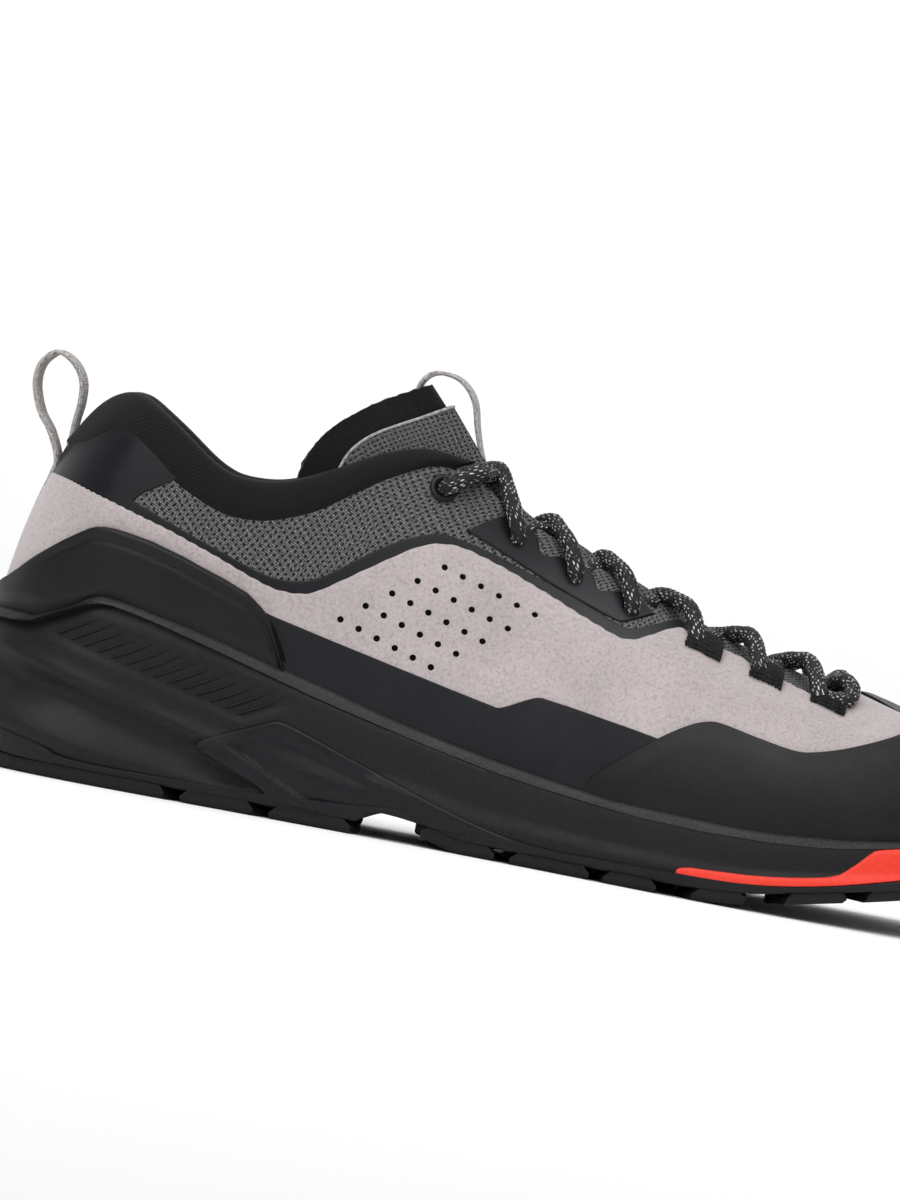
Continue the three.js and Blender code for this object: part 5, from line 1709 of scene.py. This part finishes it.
# Soft lights: name, place, size and power
SOFT_LIGHTS = (
    ("overhead", (0.05, -0.05, 1.1), 0.9, 4.6),
    ("heel_side", (-0.9, -0.9, 0.7), 0.5, 1.2),
    ("behind", (0.2, 1.3, 0.9), 1.0, 2.2),
)
# Camera: its roll, how far it looks down, its target, the height of its picture there, and its sensor
CAMERA_ROLL = math.radians(10.6)
CAMERA_LIFT = math.radians(1.2)
CAMERA_TARGET = (0.0832, -0.04, 0.0649)
PICTURE_HEIGHT = 0.3125
SENSOR_HEIGHT = 36.0


def make_floor():
    """Floor that curves up into the background."""
    deselect()
    bpy.ops.mesh.primitive_grid_add(x_subdivisions=1, y_subdivisions=60, size=2)
    floor = bpy.context.object
    floor.name = "floor"
    for corner in floor.data.vertices:
        reach = FLOOR_FRONT + (corner.co.y + 1) / 2 * FLOOR_DEPTH
        bend = max(reach - CURVE_START, 0.0)
        turn = min(bend / CURVE_RADIUS, math.pi / 2)
        straight = max(bend - CURVE_RADIUS * math.pi / 2, 0.0)
        corner.co = (corner.co.x * FLOOR_HALF_WIDTH, min(reach, CURVE_START) + CURVE_RADIUS * math.sin(turn),
                     CURVE_RADIUS * (1 - math.cos(turn)) + straight)
    pale, _, _ = finish("pale_floor", tuple(colours().floor), 0.85, Specular_IOR_Level=0.2)
    floor.data.materials.append(pale)
    make_active(floor)
    bpy.ops.object.shade_smooth()
    floor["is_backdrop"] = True


def add_light(kind, name, place, direction, power):
    bpy.ops.object.light_add(type=kind, location=place)
    light = bpy.context.object
    light.name = name
    light.data.energy = power
    light.rotation_euler = Vector(direction).to_track_quat("-Z", "Y").to_euler()
    return light


def make_lights():
    world = bpy.data.worlds.new("soft_daylight")
    world.use_nodes = True
    world.node_tree.nodes["Background"].inputs["Color"].default_value = (1, 1, 1, 1)
    world.node_tree.nodes["Background"].inputs["Strength"].default_value = DAYLIGHT
    scene = bpy.context.scene
    scene.world = world
    scene.view_settings.view_transform = "Standard"
    scene.view_settings.look = "None"
    sun = add_light("SUN", "soft_sun", (0.0, -1.0, 2.0), SUN_DIRECTION, SUN_STRENGTH)
    sun.data.angle = SUN_SPREAD
    for name, place, size, power in SOFT_LIGHTS:
        light = add_light("AREA", name, place, Vector(LIGHT_AIM) - Vector(place), power)
        light.data.size = size


def make_camera():
    distance = sizes().camera_distance
    right = Vector((math.cos(CAMERA_ROLL), 0.0, math.sin(CAMERA_ROLL)))
    back = Vector((0.0, -math.cos(CAMERA_LIFT), math.sin(CAMERA_LIFT)))
    up = back.cross(right).normalized()
    right = up.cross(back).normalized()
    bpy.ops.object.camera_add()
    camera = bpy.context.object
    camera.name = "photo_camera"
    camera.matrix_world = Matrix.Translation(Vector(CAMERA_TARGET) + back * distance) @ Matrix(
        (right, up, back)).transposed().to_4x4()
    camera.data.sensor_fit = "VERTICAL"
    camera.data.sensor_height = SENSOR_HEIGHT
    camera.data.lens = SENSOR_HEIGHT * distance / PICTURE_HEIGHT
    camera.data.clip_end = 50.0
    bpy.context.scene.camera = camera


# Operators and panel

class ShoeOperator(bpy.types.Operator):
    """Makes pieces of the shoe."""
    bl_options = {"REGISTER", "UNDO"}


class SHOE_OT_sole(ShoeOperator):
    """Makes the midsole, outsole, wing, toe accent and insole"""
    bl_idname = "shoe.sole"
    bl_label = "Sole"

    def execute(self, context):
        make_midsole()
        make_wing(make_outsole())
        make_accent()
        make_insole()
        return {"FINISHED"}


class SHOE_OT_upper(ShoeOperator):
    """Makes the textile upper and the tongue"""
    bl_idname = "shoe.upper"
    bl_label = "Upper and tongue"

    def execute(self, context):
        mesh_finish = make_upper()
        make_tongue(mesh_finish)
        return {"FINISHED"}


class SHOE_OT_panels(ShoeOperator):
    """Makes the suede, film, counter, rand and punched holes"""
    bl_idname = "shoe.panels"
    bl_label = "Panels"

    def execute(self, context):
        make_panels()
        make_moulded()
        return {"FINISHED"}


class SHOE_OT_collar(ShoeOperator):
    """Makes the padded collar and the pull loops"""
    bl_idname = "shoe.collar"
    bl_label = "Collar and loops"

    def execute(self, context):
        make_collar()
        make_loops()
        return {"FINISHED"}


class SHOE_OT_lacing(ShoeOperator):
    """Makes the lace, eyelets and keepers"""
    bl_idname = "shoe.lacing"
    bl_label = "Lacing"

    def execute(self, context):
        make_laces()
        make_eyelets()
        make_keepers()
        return {"FINISHED"}


class SHOE_OT_stage(ShoeOperator):
    """Makes the floor, lights and camera"""
    bl_idname = "shoe.stage"
    bl_label = "Stage"

    def execute(self, context):
        make_floor()
        make_lights()
        make_camera()
        return {"FINISHED"}


OPERATORS = (SHOE_OT_stage, SHOE_OT_sole, SHOE_OT_upper, SHOE_OT_panels, SHOE_OT_collar, SHOE_OT_lacing)


class SHOE_PT_panel(bpy.types.Panel):
    """Lists the shoe's operators and settings"""
    bl_label = "Approach shoe"
    bl_idname = "SHOE_PT_panel"
    bl_space_type = "VIEW_3D"
    bl_region_type = "UI"
    bl_category = "Shoe"

    def draw(self, context):
        for operator in OPERATORS:
            self.layout.operator(operator.bl_idname)
        for group in (context.scene.shoe_sizes, context.scene.shoe_colours):
            for key in group.__annotations__:
                self.layout.prop(group, key)


CLASSES = (ShoeSizes, ShoeColours, *OPERATORS, SHOE_PT_panel)


def register():
    for item in CLASSES:
        bpy.utils.register_class(item)
    bpy.types.Scene.shoe_sizes = bpy.props.PointerProperty(type=ShoeSizes)
    bpy.types.Scene.shoe_colours = bpy.props.PointerProperty(type=ShoeColours)


def unregister():
    del bpy.types.Scene.shoe_colours
    del bpy.types.Scene.shoe_sizes
    for item in reversed(CLASSES):
        bpy.utils.unregister_class(item)


def main():
    register()
    bpy.ops.shoe.stage()
    bpy.ops.shoe.sole()
    bpy.ops.shoe.upper()
    bpy.ops.shoe.panels()
    bpy.ops.shoe.collar()
    bpy.ops.shoe.lacing()
    boxes = {"frame": frame_box, "scene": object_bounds()}
    plain = {name: [[float(value) for value in corner] for corner in box] for name, box in boxes.items()}


if __name__ == "__main__":
    main()
